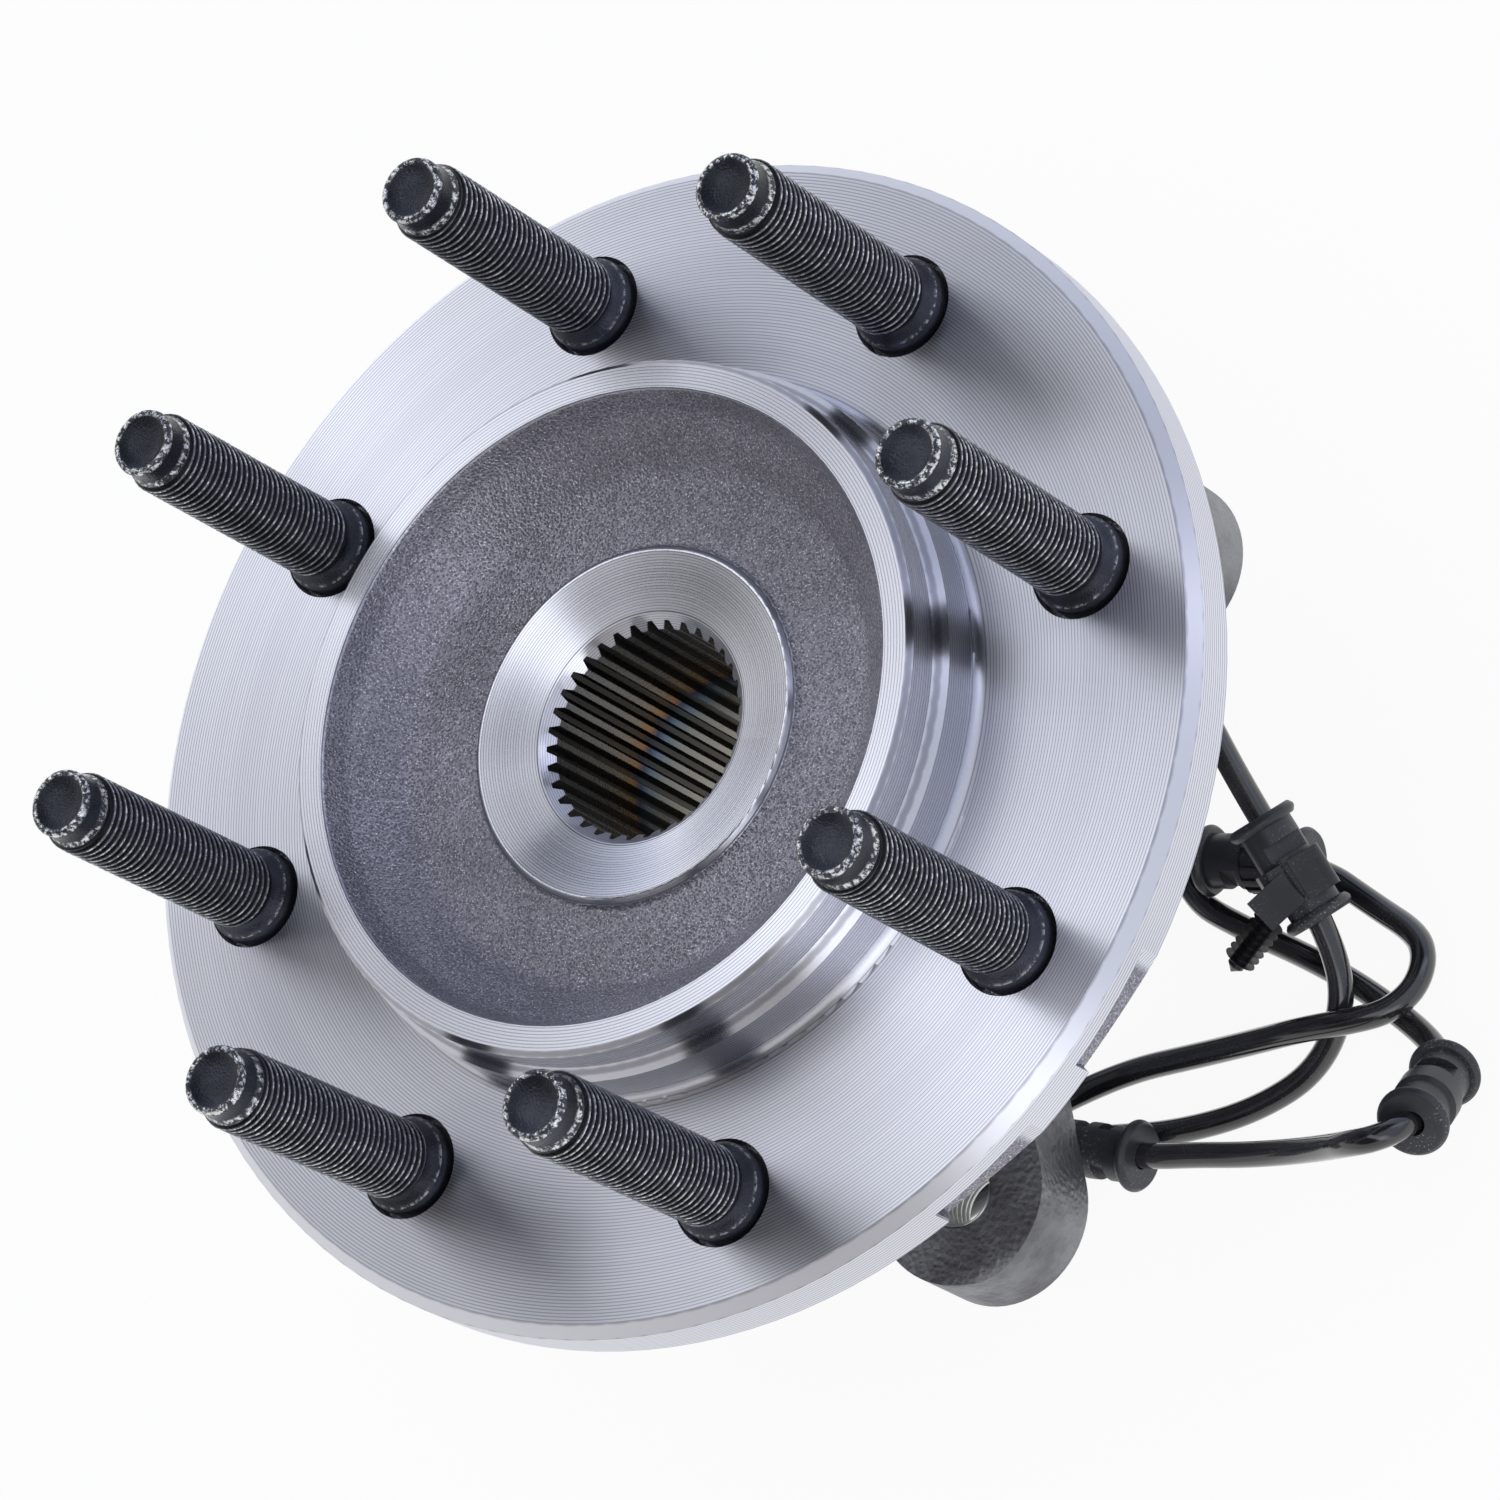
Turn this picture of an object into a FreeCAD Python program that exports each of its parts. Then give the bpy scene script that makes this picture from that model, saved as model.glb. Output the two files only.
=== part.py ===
import FreeCAD, Part
import math
import os

os.makedirs("parts", exist_ok=True)
V = FreeCAD.Vector
up = V(0, 0, 1)

# The hub axis is Z, outboard up. The unit stands on the end of its knuckle spigot at z = 0.
# Depths are measured down from the wheel face.
spigot_length = 14.0
knuckle_face_depth = 76.0
wheel_face_z = spigot_length + knuckle_face_depth

# Wheel flange
flange_r = 102.6
flange_chamfer = 2.2
flange_rim_depth = 10.0
flange_thickness = 12.5
flange_back_step = 3.6
rim_notch_angles = (-14.0, -32.6, 166.0, 147.4)
rim_notch_span = 12.0
rim_notch_rise = 4.4
rim_notch_cut = 2.6

# Pilot for the wheel and the brake disc
pilot_r = 60.3
pilot_height = 18.3
pilot_chamfer = 1.0
pilot_length = 5.9
disc_pilot_r = 62.3
disc_pilot_foot_r = 2.4
recess_r = 55.2
recess_floor_r = 45.0
recess_height = 6.0

# Centre boss and splined bore
boss_r = 31.2
boss_height = 7.5
boss_edge = 0.8
boss_dish = 2.8
bore_chamfer = 0.95
spline_teeth = 35
spline_root_r = 19.2
spline_tip_r = 17.99
spline_pitch_r = 18.52
spline_flank_deg = 30.0
spline_end_depth = 70.0
rear_bore_r = 20.0

# Wheel studs
stud_count = 8
stud_circle_r = 165.1 / 2
first_stud_deg = 25.5
stud_thread_r = 7.0
stud_length = 55.5
stud_point_r = 5.9
stud_point_length = 4.2
stud_collar_r = 8.25
stud_collar_height = 2.6
stud_knurl_r = 8.0
stud_relief_r = 9.1
stud_relief_depth = 4.0
stud_head_r = 11.0
stud_head_height = 5.0

# Bearing rows
spindle_r = 24.5
shoulder_r = 33.0
shoulder_depth = 18.5
ring_width = 29.5
row_offset = 14.0
roller_count = 20
roller_pitch_r = 34.4
roller_r = 4.5
roller_length = 16.6
roller_tilt = 12.2
roller_taper = 1.8
roller_clearance = 0.05
rib_height = 2.6
cage_wall = 1.6
cage_rim = 1.8
pocket_clearance = 0.3
staked_lip_r = 30.0
staked_lip_height = 4.5

# Outer ring
body_r = 52.0
body_top_depth = 14.5
middle_bore_r = 37.0
seal_seat_r = 42.0
seal_seat_depth = 6.5
spigot_r = 46.0
spigot_chamfer = 1.5

# Knuckle ears, on a rectangle
ear_spacing_x = 81.4
ear_spacing_y = 116.3
ear_r = 16.0
ear_root_r = 20.0
ear_thickness = 18.0
ear_fillet_r = 15.0
ear_hole_r = 6.35
ear_hole_chamfer = 1.2

# Seals
seal_case_wall = 0.8
seal_case_width = 4.6
seal_lip_width = 3.2
seal_lip_gap = 0.05
slinger_wall = 0.8

# Speed sensor
tone_ring_r = 32.5
tone_ring_width = 8.0
tone_teeth = 48
tone_slot_width = 1.6
tone_slot_depth = 1.3
sensor_deg = 94.0
sensor_barrel_r = 4.5
sensor_air_gap = 0.8
sensor_fit = 0.1
ring_groove_depth = 1.0
ring_groove_width = 2.0
pad_width = 17.0
pad_rise = 3.0
pad_r = body_r + pad_rise
ring_groove_inset = 8.0
ring_groove_reach = pad_r - ring_groove_inset
sensor_head_width = 15.0
sensor_head_height = 15.0
sensor_head_length = 13.0
sensor_exit_reach = 7.0
sensor_tab_thickness = 3.5
sensor_screw_rise = 14.0
screw_r = 3.0
screw_length = 12.0
screw_head_r = 5.0
screw_head_height = 4.5
bush_r = 4.2

# Sensor lead, laid on the floor about the spigot
lead_r = 2.25
lead_z = 2.4
outer_turn_r = 56.0
inner_turn_r = 50.3
turn_step = 40.0

# Grommets and the clip on the lead
grommet_flange_r = 6.4
grommet_flange = 2.2
grommet_r = 4.8
grommet_collar_r = 5.5
grommet_window_width = 3.4
grommet_window_depth = 1.65
collar_ribs = 14
saddle_half_width = 5.8
saddle_start = 7.6
saddle_length = 7.6
head_plate_width = 7.6
head_plate_length = 6.2
head_plate_thickness = 1.6
stem_r = 1.5
stem_length = 15.0
stem_fin_r = 2.9
stem_fins = 7
stem_fin_pitch = 1.4

# Plug at the end of the lead
plug_width = 12.0
plug_height = 10.6
plug_length = 20.0
plug_neck_r = 5.2
plug_seal_r = 4.1
plug_socket_depth = 9.0
plug_wall = 1.7
pin_width = 1.6
pin_thickness = 0.8
pin_spacing = 4.0
pin_length = 10.0


def at_deg(radius, degrees, z=0.0):
    angle = math.radians(degrees)
    return V(radius * math.cos(angle), radius * math.sin(angle), z)


def below_face(depth):
    return wheel_face_z - depth


def rounded_outline(points):
    """Closed wire through (x, y) or (x, y, corner radius) points in the XZ plane."""
    corners = [V(p[0], 0, p[1]) for p in points]
    radii = [p[2] if len(p) > 2 else 0.0 for p in points]
    stations = []
    for i, corner in enumerate(corners):
        if radii[i] == 0.0:
            stations.append((corner, None, corner))
            continue
        to_last = (corners[i - 1] - corner).normalize()
        to_next = (corners[(i + 1) % len(corners)] - corner).normalize()
        half = to_last.getAngle(to_next) / 2
        reach = radii[i] / math.tan(half)
        middle = (to_last + to_next).normalize() * (radii[i] / math.sin(half) - radii[i])
        stations.append((corner + to_last * reach, corner + middle, corner + to_next * reach))
    edges = []
    for i, (start, middle, end) in enumerate(stations):
        if middle is not None:
            edges.append(Part.Arc(start, middle, end).toShape())
        following = stations[(i + 1) % len(stations)][0]
        if (following - end).Length > 1e-6:
            edges.append(Part.LineSegment(end, following).toShape())
    return Part.Wire(edges)


def turned(points):
    """Solid of revolution about Z of an outline given as (r, z) or (r, z, corner radius)."""
    return Part.Face(rounded_outline(points)).revolve(V(0, 0, 0), up, 360)


def disc(radius, z, height, centre=V(0, 0, 0)):
    return Part.makeCylinder(radius, height, V(centre.x, centre.y, z), up)


def around(shape, count, first_deg=0.0):
    step = 360.0 / count
    copies = []
    for i in range(count):
        copy = shape.copy()
        copy.rotate(V(0, 0, 0), up, first_deg + i * step)
        copies.append(copy)
    return copies


def placed(shape, start, direction):
    """Move a shape that was made along +Z from the origin to start, along direction."""
    turn = FreeCAD.Rotation(up, direction)
    copy = shape.copy()
    copy.Placement = FreeCAD.Placement(start, turn).multiply(copy.Placement)
    return copy


def framed(shape, origin, z_axis, x_axis):
    """Move a shape that was made in its own axes to origin, with its Z and X as given."""
    turn = FreeCAD.Rotation(x_axis, V(), z_axis, "ZXY")
    copy = shape.copy()
    copy.Placement = FreeCAD.Placement(origin, turn).multiply(copy.Placement)
    return copy


def export(shape, name):
    shape.exportStep("parts/" + name + ".step")


# Wheel hub
def spline_cutter():
    pitch_space = math.pi / spline_teeth / 2
    slope = math.tan(math.radians(spline_flank_deg))
    root_half = pitch_space - (spline_root_r - spline_pitch_r) * slope / spline_pitch_r
    tip_half = pitch_space + (spline_pitch_r - spline_tip_r) * slope / spline_pitch_r
    points = []
    for i in range(spline_teeth):
        centre = 2 * math.pi * i / spline_teeth
        for radius, offset in ((spline_tip_r, -tip_half), (spline_root_r, -root_half),
                               (spline_root_r, root_half), (spline_tip_r, tip_half)):
            points.append(V(radius * math.cos(centre + offset), radius * math.sin(centre + offset), 0))
    outline = Part.Face(Part.makePolygon(points + points[:1]))
    bottom = below_face(spline_end_depth)
    outline.translate(V(0, 0, bottom))
    return outline.extrude(up * (wheel_face_z + boss_height - bottom))


def rim_notch(start_deg):
    end_deg = start_deg - rim_notch_span
    outside = flange_r + rim_notch_cut
    bottom = below_face(flange_thickness) - 1
    plan = [at_deg(flange_r, start_deg), at_deg(flange_r - rim_notch_cut, end_deg),
            at_deg(outside, end_deg), at_deg(outside, start_deg)]
    top = below_face(flange_rim_depth - rim_notch_rise)
    wedge = Part.Face(Part.makePolygon(plan + plan[:1])).extrude(up * (top - bottom))
    wedge.translate(V(0, 0, bottom))
    return wedge


face = wheel_face_z
stack_end_depth = shoulder_depth + 2 * ring_width
lip_end_depth = stack_end_depth + staked_lip_height
pilot_top = face + pilot_height
disc_pilot_top = pilot_top - pilot_chamfer - pilot_length
pilot_step = disc_pilot_r - pilot_r
bore_rim_r = spline_root_r + bore_chamfer
bore_rim_z = face + boss_height - boss_dish
hub = turned([
    (flange_r - flange_chamfer, face),
    (flange_r, face - flange_chamfer),
    (flange_r, below_face(flange_rim_depth)),
    (flange_r - flange_back_step, below_face(flange_thickness), 1.0),
    (shoulder_r, below_face(flange_thickness), 1.2),
    (shoulder_r, below_face(shoulder_depth)),
    (spindle_r, below_face(shoulder_depth)),
    (spindle_r, below_face(stack_end_depth)),
    (staked_lip_r, below_face(stack_end_depth), 0.8),
    (staked_lip_r - 1.5, below_face(lip_end_depth), 1.5),
    (rear_bore_r, below_face(lip_end_depth), 0.8),
    (rear_bore_r, below_face(spline_end_depth)),
    (spline_tip_r, below_face(spline_end_depth)),
    (spline_tip_r, bore_rim_z - bore_rim_r + spline_tip_r),
    (bore_rim_r, bore_rim_z),
    (boss_r - boss_edge, face + boss_height, 0.4),
    (boss_r, face + boss_height - boss_edge, 0.4),
    (boss_r, face + recess_height, 0.8),
    (recess_floor_r, face + recess_height, 5.0),
    (recess_r - 2.2, face + recess_height + 7.0, 5.0),
    (recess_r - 0.2, pilot_top - 0.6),
    (recess_r, pilot_top),
    (pilot_r - pilot_chamfer, pilot_top),
    (pilot_r, pilot_top - pilot_chamfer),
    (pilot_r, disc_pilot_top),
    (disc_pilot_r, disc_pilot_top - pilot_step),
    (disc_pilot_r, face, disc_pilot_foot_r),
])
stud_hole = disc(stud_knurl_r, face - 2 * flange_thickness, 3 * flange_thickness, V(stud_circle_r, 0, 0))
stud_relief = disc(stud_relief_r, face - stud_relief_depth, flange_thickness, V(stud_circle_r, 0, 0))
hub = hub.cut(around(stud_hole.fuse(stud_relief), stud_count, first_stud_deg))
hub = hub.cut(spline_cutter())
hub = hub.cut([rim_notch(angle) for angle in rim_notch_angles])
export(hub, "wheel_hub")

# Wheel studs, pressed in from behind
stud_seat = below_face(flange_thickness)
stud_top = face + stud_length
thread_end = stud_top - stud_point_length
stud = turned([
    (0, stud_seat - stud_head_height),
    (stud_head_r, stud_seat - stud_head_height, 1.0),
    (stud_head_r, stud_seat),
    (stud_knurl_r, stud_seat),
    (stud_knurl_r, face - stud_relief_depth),
    (stud_collar_r, face - stud_relief_depth),
    (stud_collar_r, face + stud_collar_height - 1.0),
    (stud_collar_r - 1.0, face + stud_collar_height),
    (stud_thread_r, face + stud_collar_height + 0.6),
    (stud_thread_r, thread_end - 1.0),
    (stud_point_r, thread_end),
    (stud_point_r, stud_top - 0.9, 0.4),
    (stud_point_r - 1.1, stud_top, 0.4),
    (0, stud_top),
])
stud.translate(V(stud_circle_r, 0, 0))
export(Part.makeCompound(around(stud, stud_count, first_stud_deg)), "wheel_studs")

# Tapered roller rows. Each is laid out for the outboard row and mirrored for the inboard one.
bearing_middle = below_face(shoulder_depth + ring_width)
tilt = math.radians(roller_tilt)
taper = math.radians(roller_taper)
row_z = bearing_middle + row_offset + 1.5


def race_point(side, along):
    """Point (r, z) of a raceway: side 1 is the outer one, -1 the inner one."""
    gap = roller_r / math.cos(taper) + roller_clearance
    angle = tilt + side * taper
    return (roller_pitch_r + side * gap * math.cos(tilt) + along * math.sin(angle),
            row_z - side * gap * math.sin(tilt) + along * math.cos(angle))


def roller(grow=0.0):
    half = roller_length / 2 + grow
    small_r = roller_r - half * math.tan(taper) + grow
    large_r = roller_r + half * math.tan(taper) + grow
    direction = V(math.sin(tilt), 0, math.cos(tilt))
    start = V(roller_pitch_r, 0, row_z) - direction * half
    return Part.makeCone(small_r, large_r, 2 * half, start, direction)


def mirrored(shape):
    return shape.mirror(V(0, 0, bearing_middle), up)


half_race = roller_length / 2 + 0.4
inner_low = race_point(-1, -half_race)
inner_high = race_point(-1, half_race)
outer_low = race_point(1, -half_race)
outer_high = race_point(1, half_race)
ring_back = below_face(shoulder_depth)
inner_ring = turned([
    (spindle_r, bearing_middle, 0.5),
    (inner_low[0] + 0.9, bearing_middle, 0.5),
    (inner_low[0] + 0.9, inner_low[1] - 0.5),
    inner_low,
    inner_high,
    (inner_high[0] + rib_height - 0.4, inner_high[1] + 0.6),
    (inner_high[0] + rib_height, ring_back, 0.5),
    (spindle_r, ring_back, 1.0),
])
export(inner_ring, "outboard_inner_ring")
export(mirrored(inner_ring), "inboard_inner_ring")

rollers = Part.makeCompound(around(roller(), roller_count))
export(rollers, "outboard_rollers")
export(mirrored(rollers), "inboard_rollers")


def cage():
    reach = roller_length / 2 + pocket_clearance + cage_rim
    offset = roller_r * 0.12
    ends = []
    for along, side in ((-reach, -1), (reach, -1), (reach, 1), (-reach, 1)):
        across = offset + side * cage_wall / 2
        ends.append((roller_pitch_r + along * math.sin(tilt) + across * math.cos(tilt),
                     row_z + along * math.cos(tilt) - across * math.sin(tilt)))
    return turned(ends).cut(around(roller(pocket_clearance), roller_count))


outboard_cage = cage()
export(outboard_cage, "outboard_cage")
export(mirrored(outboard_cage), "inboard_cage")

# Tone ring, pressed on the inner rings between the rows
tone_bore_r = inner_low[0] + 0.9
tone_low = bearing_middle - tone_ring_width / 2
tone_ring = turned([
    (tone_bore_r, tone_low),
    (tone_ring_r, tone_low),
    (tone_ring_r, tone_low + tone_ring_width),
    (tone_bore_r, tone_low + tone_ring_width),
])
tone_slot = Part.makeBox(2 * tone_slot_depth, tone_slot_width, tone_ring_width - 2,
                         V(tone_ring_r - tone_slot_depth, -tone_slot_width / 2, tone_low + 1))
export(tone_ring.cut(around(tone_slot, tone_teeth)), "tone_ring")

# Outer ring with its raceways, knuckle spigot and four ears
body_top = below_face(body_top_depth)
knuckle_face = spigot_length
ear_top = knuckle_face + ear_thickness


def low_point(point):
    return (point[0], 2 * bearing_middle - point[1])


outer_ring = turned([
    (seal_seat_r, body_top, 0.5),
    (body_r, body_top, 2.0),
    (body_r, knuckle_face),
    (spigot_r, knuckle_face),
    (spigot_r, spigot_chamfer),
    (spigot_r - spigot_chamfer, 0),
    (seal_seat_r, 0, 0.5),
    (seal_seat_r, 2 * bearing_middle - body_top + seal_seat_depth),
    (outer_high[0], 2 * bearing_middle - body_top + seal_seat_depth),
    low_point(outer_high),
    low_point(outer_low),
    (middle_bore_r, 2 * bearing_middle - outer_low[1] + 1.0),
    (middle_bore_r, outer_low[1] - 1.0),
    outer_low,
    outer_high,
    (outer_high[0], body_top - seal_seat_depth),
    (seal_seat_r, body_top - seal_seat_depth),
])
ear_reach = math.hypot(ear_spacing_x, ear_spacing_y) / 2
ear_deg = math.degrees(math.atan2(ear_spacing_y, ear_spacing_x))
ear_angles = (ear_deg, 180 - ear_deg, 180 + ear_deg, -ear_deg)


def ear_plan():
    """Lobe along +X: a root circle inside the body and an end circle, joined by tangents."""
    root_x = body_r - ear_root_r / 2
    lean = math.asin((ear_root_r - ear_r) / (ear_reach - root_x))
    along = V(math.sin(lean), math.cos(lean), 0)
    root = V(root_x, 0, 0)
    end = V(ear_reach, 0, 0)
    flip = V(along.x, -along.y, 0)
    edges = [
        Part.LineSegment(root + along * ear_root_r, end + along * ear_r).toShape(),
        Part.Arc(end + along * ear_r, end + V(ear_r, 0, 0), end + flip * ear_r).toShape(),
        Part.LineSegment(end + flip * ear_r, root + flip * ear_root_r).toShape(),
        Part.Arc(root + flip * ear_root_r, root - V(ear_root_r, 0, 0), root + along * ear_root_r).toShape(),
    ]
    plan = Part.Face(Part.Wire(edges)).extrude(up * (ear_thickness + 2 * ear_fillet_r))
    plan.translate(V(0, 0, knuckle_face))
    return plan


ear_tip_r = ear_reach + ear_r + 1
hug_r = (seal_seat_r + body_r) / 2
ear_section = turned([
    (hug_r, knuckle_face),
    (ear_tip_r, knuckle_face),
    (ear_tip_r, ear_top - 3.0, 4.0),
    (body_r - 0.5, ear_top, ear_fillet_r),
    (body_r - 0.5, ear_top + 1.6 * ear_fillet_r),
    (hug_r, ear_top + 1.6 * ear_fillet_r),
])
ear = ear_plan().common(ear_section)
ears = []
ear_holes = []
for angle in ear_angles:
    turned_ear = ear.copy()
    turned_ear.rotate(V(0, 0, 0), up, angle)
    ears.append(turned_ear)
    centre = at_deg(ear_reach, angle)
    ear_holes.append(disc(ear_hole_r, 0, wheel_face_z / 2, centre))
    mouth_base = at_deg(ear_reach, angle, knuckle_face)
    mouth = Part.makeCone(ear_hole_r + ear_hole_chamfer, ear_hole_r, ear_hole_chamfer, mouth_base, up)
    ear_holes.append(mouth)
sensor_axis = at_deg(1, sensor_deg)
sensor_side = at_deg(1, sensor_deg - 90)
sensor_z = bearing_middle
pad_low = sensor_z - sensor_head_height / 2 - 1
pad_high = sensor_z + sensor_screw_rise + bush_r + 3
pad = Part.makeBox(pad_r - hug_r, pad_width, pad_high - pad_low, V(hug_r, -pad_width / 2, pad_low))
pad = pad.makeFillet(2.5, [e for e in pad.Edges if e.BoundBox.XLength > 1 and e.BoundBox.ZLength < 1])
pad.rotate(V(0, 0, 0), up, sensor_deg)
sensor_bore_start = V(0, 0, sensor_z) + sensor_axis * (middle_bore_r - 4)
sensor_bore = Part.makeCylinder(sensor_barrel_r + sensor_fit, pad_r, sensor_bore_start, sensor_axis)
screw_seat = V(0, 0, sensor_z + sensor_screw_rise) + sensor_axis * pad_r
screw_tip = screw_seat - sensor_axis * (screw_length - sensor_tab_thickness)
screw_hole = Part.makeCylinder(screw_r, screw_length, screw_tip, sensor_axis)
outer_ring = outer_ring.fuse(ears + [pad]).cut(ear_holes + [sensor_bore, screw_hole])
export(outer_ring.removeSplitter(), "outer_ring")

# Seals: a pressed steel case with a rubber lip, and the flinger that runs against it
seal_top = body_top - 0.5
lip_root_r = shoulder_r + 3.4


def seal_case(inner_r):
    return turned([
        (seal_seat_r, seal_top),
        (seal_seat_r, seal_top - seal_case_width),
        (seal_seat_r - seal_case_wall, seal_top - seal_case_width),
        (seal_seat_r - seal_case_wall, seal_top - seal_case_wall, 0.6),
        (inner_r, seal_top - seal_case_wall),
        (inner_r, seal_top),
    ])


def seal_lip(run_r, root_r):
    mid_r = (run_r + root_r) / 2
    return turned([
        (root_r, seal_top),
        (root_r, seal_top - seal_case_wall),
        (mid_r, seal_top - seal_lip_width),
        (run_r + seal_lip_gap, seal_top - seal_lip_width * 0.7),
        (mid_r, seal_top - seal_case_wall - 0.6),
        (run_r + seal_lip_gap + 0.6, seal_top),
    ])


flinger_z = below_face(flange_thickness) - 1.2
flinger = turned([
    (shoulder_r, flinger_z - slinger_wall),
    (seal_seat_r - 2.0, flinger_z - slinger_wall),
    (seal_seat_r - 2.0, flinger_z),
    (shoulder_r, flinger_z),
])
export(flinger, "outboard_flinger")
export(seal_case(lip_root_r), "outboard_seal_case")
export(seal_lip(shoulder_r, lip_root_r), "outboard_seal_lip")
rib_r = inner_high[0] + rib_height
inboard_lip_root_r = rib_r + 3.4
export(mirrored(seal_case(inboard_lip_root_r)), "inboard_seal_case")
export(mirrored(seal_lip(rib_r, inboard_lip_root_r)), "inboard_seal_lip")

# Speed sensor, its screw and its bush
tip_reach = tone_ring_r + sensor_air_gap
half_width = sensor_head_width / 2
tab_low = sensor_z - sensor_head_height / 2
tab_high = sensor_z + sensor_screw_rise
barrel = Part.makeCylinder(sensor_barrel_r, pad_r - tip_reach + 1, V(tip_reach, 0, sensor_z), V(1, 0, 0))
tab_corner = V(pad_r, -half_width, tab_low)
tab = Part.makeBox(sensor_tab_thickness, sensor_head_width, tab_high - tab_low, tab_corner)
tab_end = Part.makeCylinder(half_width, sensor_tab_thickness, V(pad_r, 0, tab_high), V(1, 0, 0))
head = Part.makeBox(sensor_head_length, sensor_head_width, sensor_head_height, tab_corner)
head = head.makeFillet(2.0, [e for e in head.Edges if e.BoundBox.XMin > pad_r + 1 or e.BoundBox.XLength > 1])
exit_r = pad_r + sensor_exit_reach
exit_side = 10.5
exit_boss_r = 4.2
exit_boss = Part.makeCylinder(exit_boss_r, exit_side, V(exit_r, 0, sensor_z), V(0, -1, 0))
groove = Part.makeCylinder(sensor_barrel_r, ring_groove_width, V(ring_groove_reach, 0, sensor_z), V(1, 0, 0))
groove_core = Part.makeCylinder(sensor_barrel_r - ring_groove_depth, pad_r, V(0, 0, sensor_z), V(1, 0, 0))
groove = groove.cut(groove_core)
sensor = barrel.cut(groove).fuse([tab, tab_end, head, exit_boss])
sensor.rotate(V(0, 0, 0), up, sensor_deg)
bush_hole = Part.makeCylinder(bush_r, 2 * sensor_tab_thickness, screw_seat, sensor_axis)
sensor = sensor.cut(bush_hole).removeSplitter()
export(sensor, "speed_sensor")
ring_width_in_groove = ring_groove_width - 0.2
o_ring_start = V(ring_groove_reach + 0.1, 0, sensor_z)
o_ring = Part.makeCylinder(sensor_barrel_r + sensor_fit, ring_width_in_groove, o_ring_start, V(1, 0, 0))
o_ring = o_ring.cut(groove_core)
o_ring.rotate(V(0, 0, 0), up, sensor_deg)
export(o_ring, "sensor_o_ring")
bush = Part.makeCylinder(bush_r, sensor_tab_thickness, screw_seat, sensor_axis)
bush = bush.cut(Part.makeCylinder(screw_r, sensor_tab_thickness, screw_seat, sensor_axis))
export(bush, "sensor_bush")
screw = Part.makeCylinder(screw_r, screw_length, screw_tip, sensor_axis)
hexagon = [V(screw_head_r * math.cos(math.radians(60 * i)), screw_head_r * math.sin(math.radians(60 * i)), 0)
           for i in range(6)]
screw_head = Part.Face(Part.makePolygon(hexagon + hexagon[:1])).extrude(up * screw_head_height)
washer = Part.makeCylinder(screw_head_r + 0.9, 1.0)
screw_cap = placed(screw_head.fuse(washer), screw_seat + sensor_axis * sensor_tab_thickness, sensor_axis)
export(screw.fuse(screw_cap).removeSplitter(), "sensor_screw")


# Sensor lead
def turn_points(radius, first_deg, count):
    """Corners of a many-sided path about the hub axis, whose sides touch a circle of the given radius."""
    corner_r = radius / math.cos(math.radians(turn_step / 2))
    return [at_deg(corner_r, first_deg - i * turn_step, lead_z) for i in range(count)]


lead_start = V(0, 0, sensor_z) + sensor_axis * exit_r + sensor_side * exit_side
plug_z = 6.2
route = [
    lead_start,
    V(20, 63.6, 42),
    V(35.5, 59.5, 41.3),
    V(49.5, 50.5, 38.8),
    V(61.5, 36, 33.8),
    V(70.3, 22.7, 27.6),
    V(80.6, 8.9, 19.1),
    V(89.1, -2.6, 12.2),
    V(92.4, -12.6, 7.4),
    V(87.8, -24, 3.0),
    V(77, -32.3, lead_z),
    V(63, -37.8, lead_z),
    V(50, -40.2, lead_z),
    V(38.5, -42.4, lead_z),
    V(27, -50.4, lead_z),
] + turn_points(outer_turn_r, -84, 6) + [
    V(33, 46, 5.2),
    V(41, 33, 7.2),
    V(43.5, 21.5, 7.4),
    V(49.5, 12.0, 7.4),
    V(60, 8.8, 7.3),
    V(80, 10.6, 6.4),
    V(91.5, 5.2, 3.8),
    V(101.5, 1.0, 4.8),
    V(104.8, -3.6, 6.2),
    V(104.8, -9.2, 7.4),
    V(101.6, -13.8, 8.8),
    V(96, -16.4, 10.0),
    V(87, -18.9, 10.2),
    V(76, -21.6, 7.0),
    V(64, -24.5, 4.0),
    V(51, -28.2, 2.5),
    V(38, -35.5, lead_z),
] + turn_points(inner_turn_r, -76, 6) + [
    V(29, 44, lead_z),
    V(41.5, 30, lead_z),
    V(48, 16, lead_z),
    V(54.5, 3.2, lead_z),
    V(66, -0.9, lead_z),
    V(80, -4.5, lead_z),
    V(93.5, -9.3, lead_z),
    V(107.8, -16.5, lead_z),
    V(113.4, -22.3, 6.3),
    V(115.8, -28.2, 13.2),
    V(117.0, -32.8, 18.7),
    V(116.7, -36.0, 22.6),
    V(113.2, -38.8, 24.6),
    V(108.4, -39.7, 23.2),
    V(101.8, -39.8, 18.2),
    V(92.5, -40.4, 13.2),
    V(82, -41.6, 10.6),
    V(72, -42.6, 9.9),
    V(62.5, -44, 9.4),
    V(43, -44, 8.7),
    V(33, -51.5, 6.4),
    V(17.5, -62.5, 3.0),
    V(-6, -70, lead_z),
    V(-28, -76, 2.6),
    V(-48, -78.5, 4.0),
    V(-64, -76.5, plug_z),
    V(-77, -72, plug_z),
]
clip_grommet_ends = (V(77.6, 12.9, 22.6), V(87.1, 0.4, 13.6))
ribbed_grommet_ends = (V(60.0, 9.0, 7.3), V(78.4, 10.5, 6.9))
leaning_grommet_ends = (V(113.5, -22.5, 6.5), V(117.4, -33.9, 20.0))
split_grommet_ends = (V(60.5, -44.0, 9.3), V(44.0, -44.0, 8.7))


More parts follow.
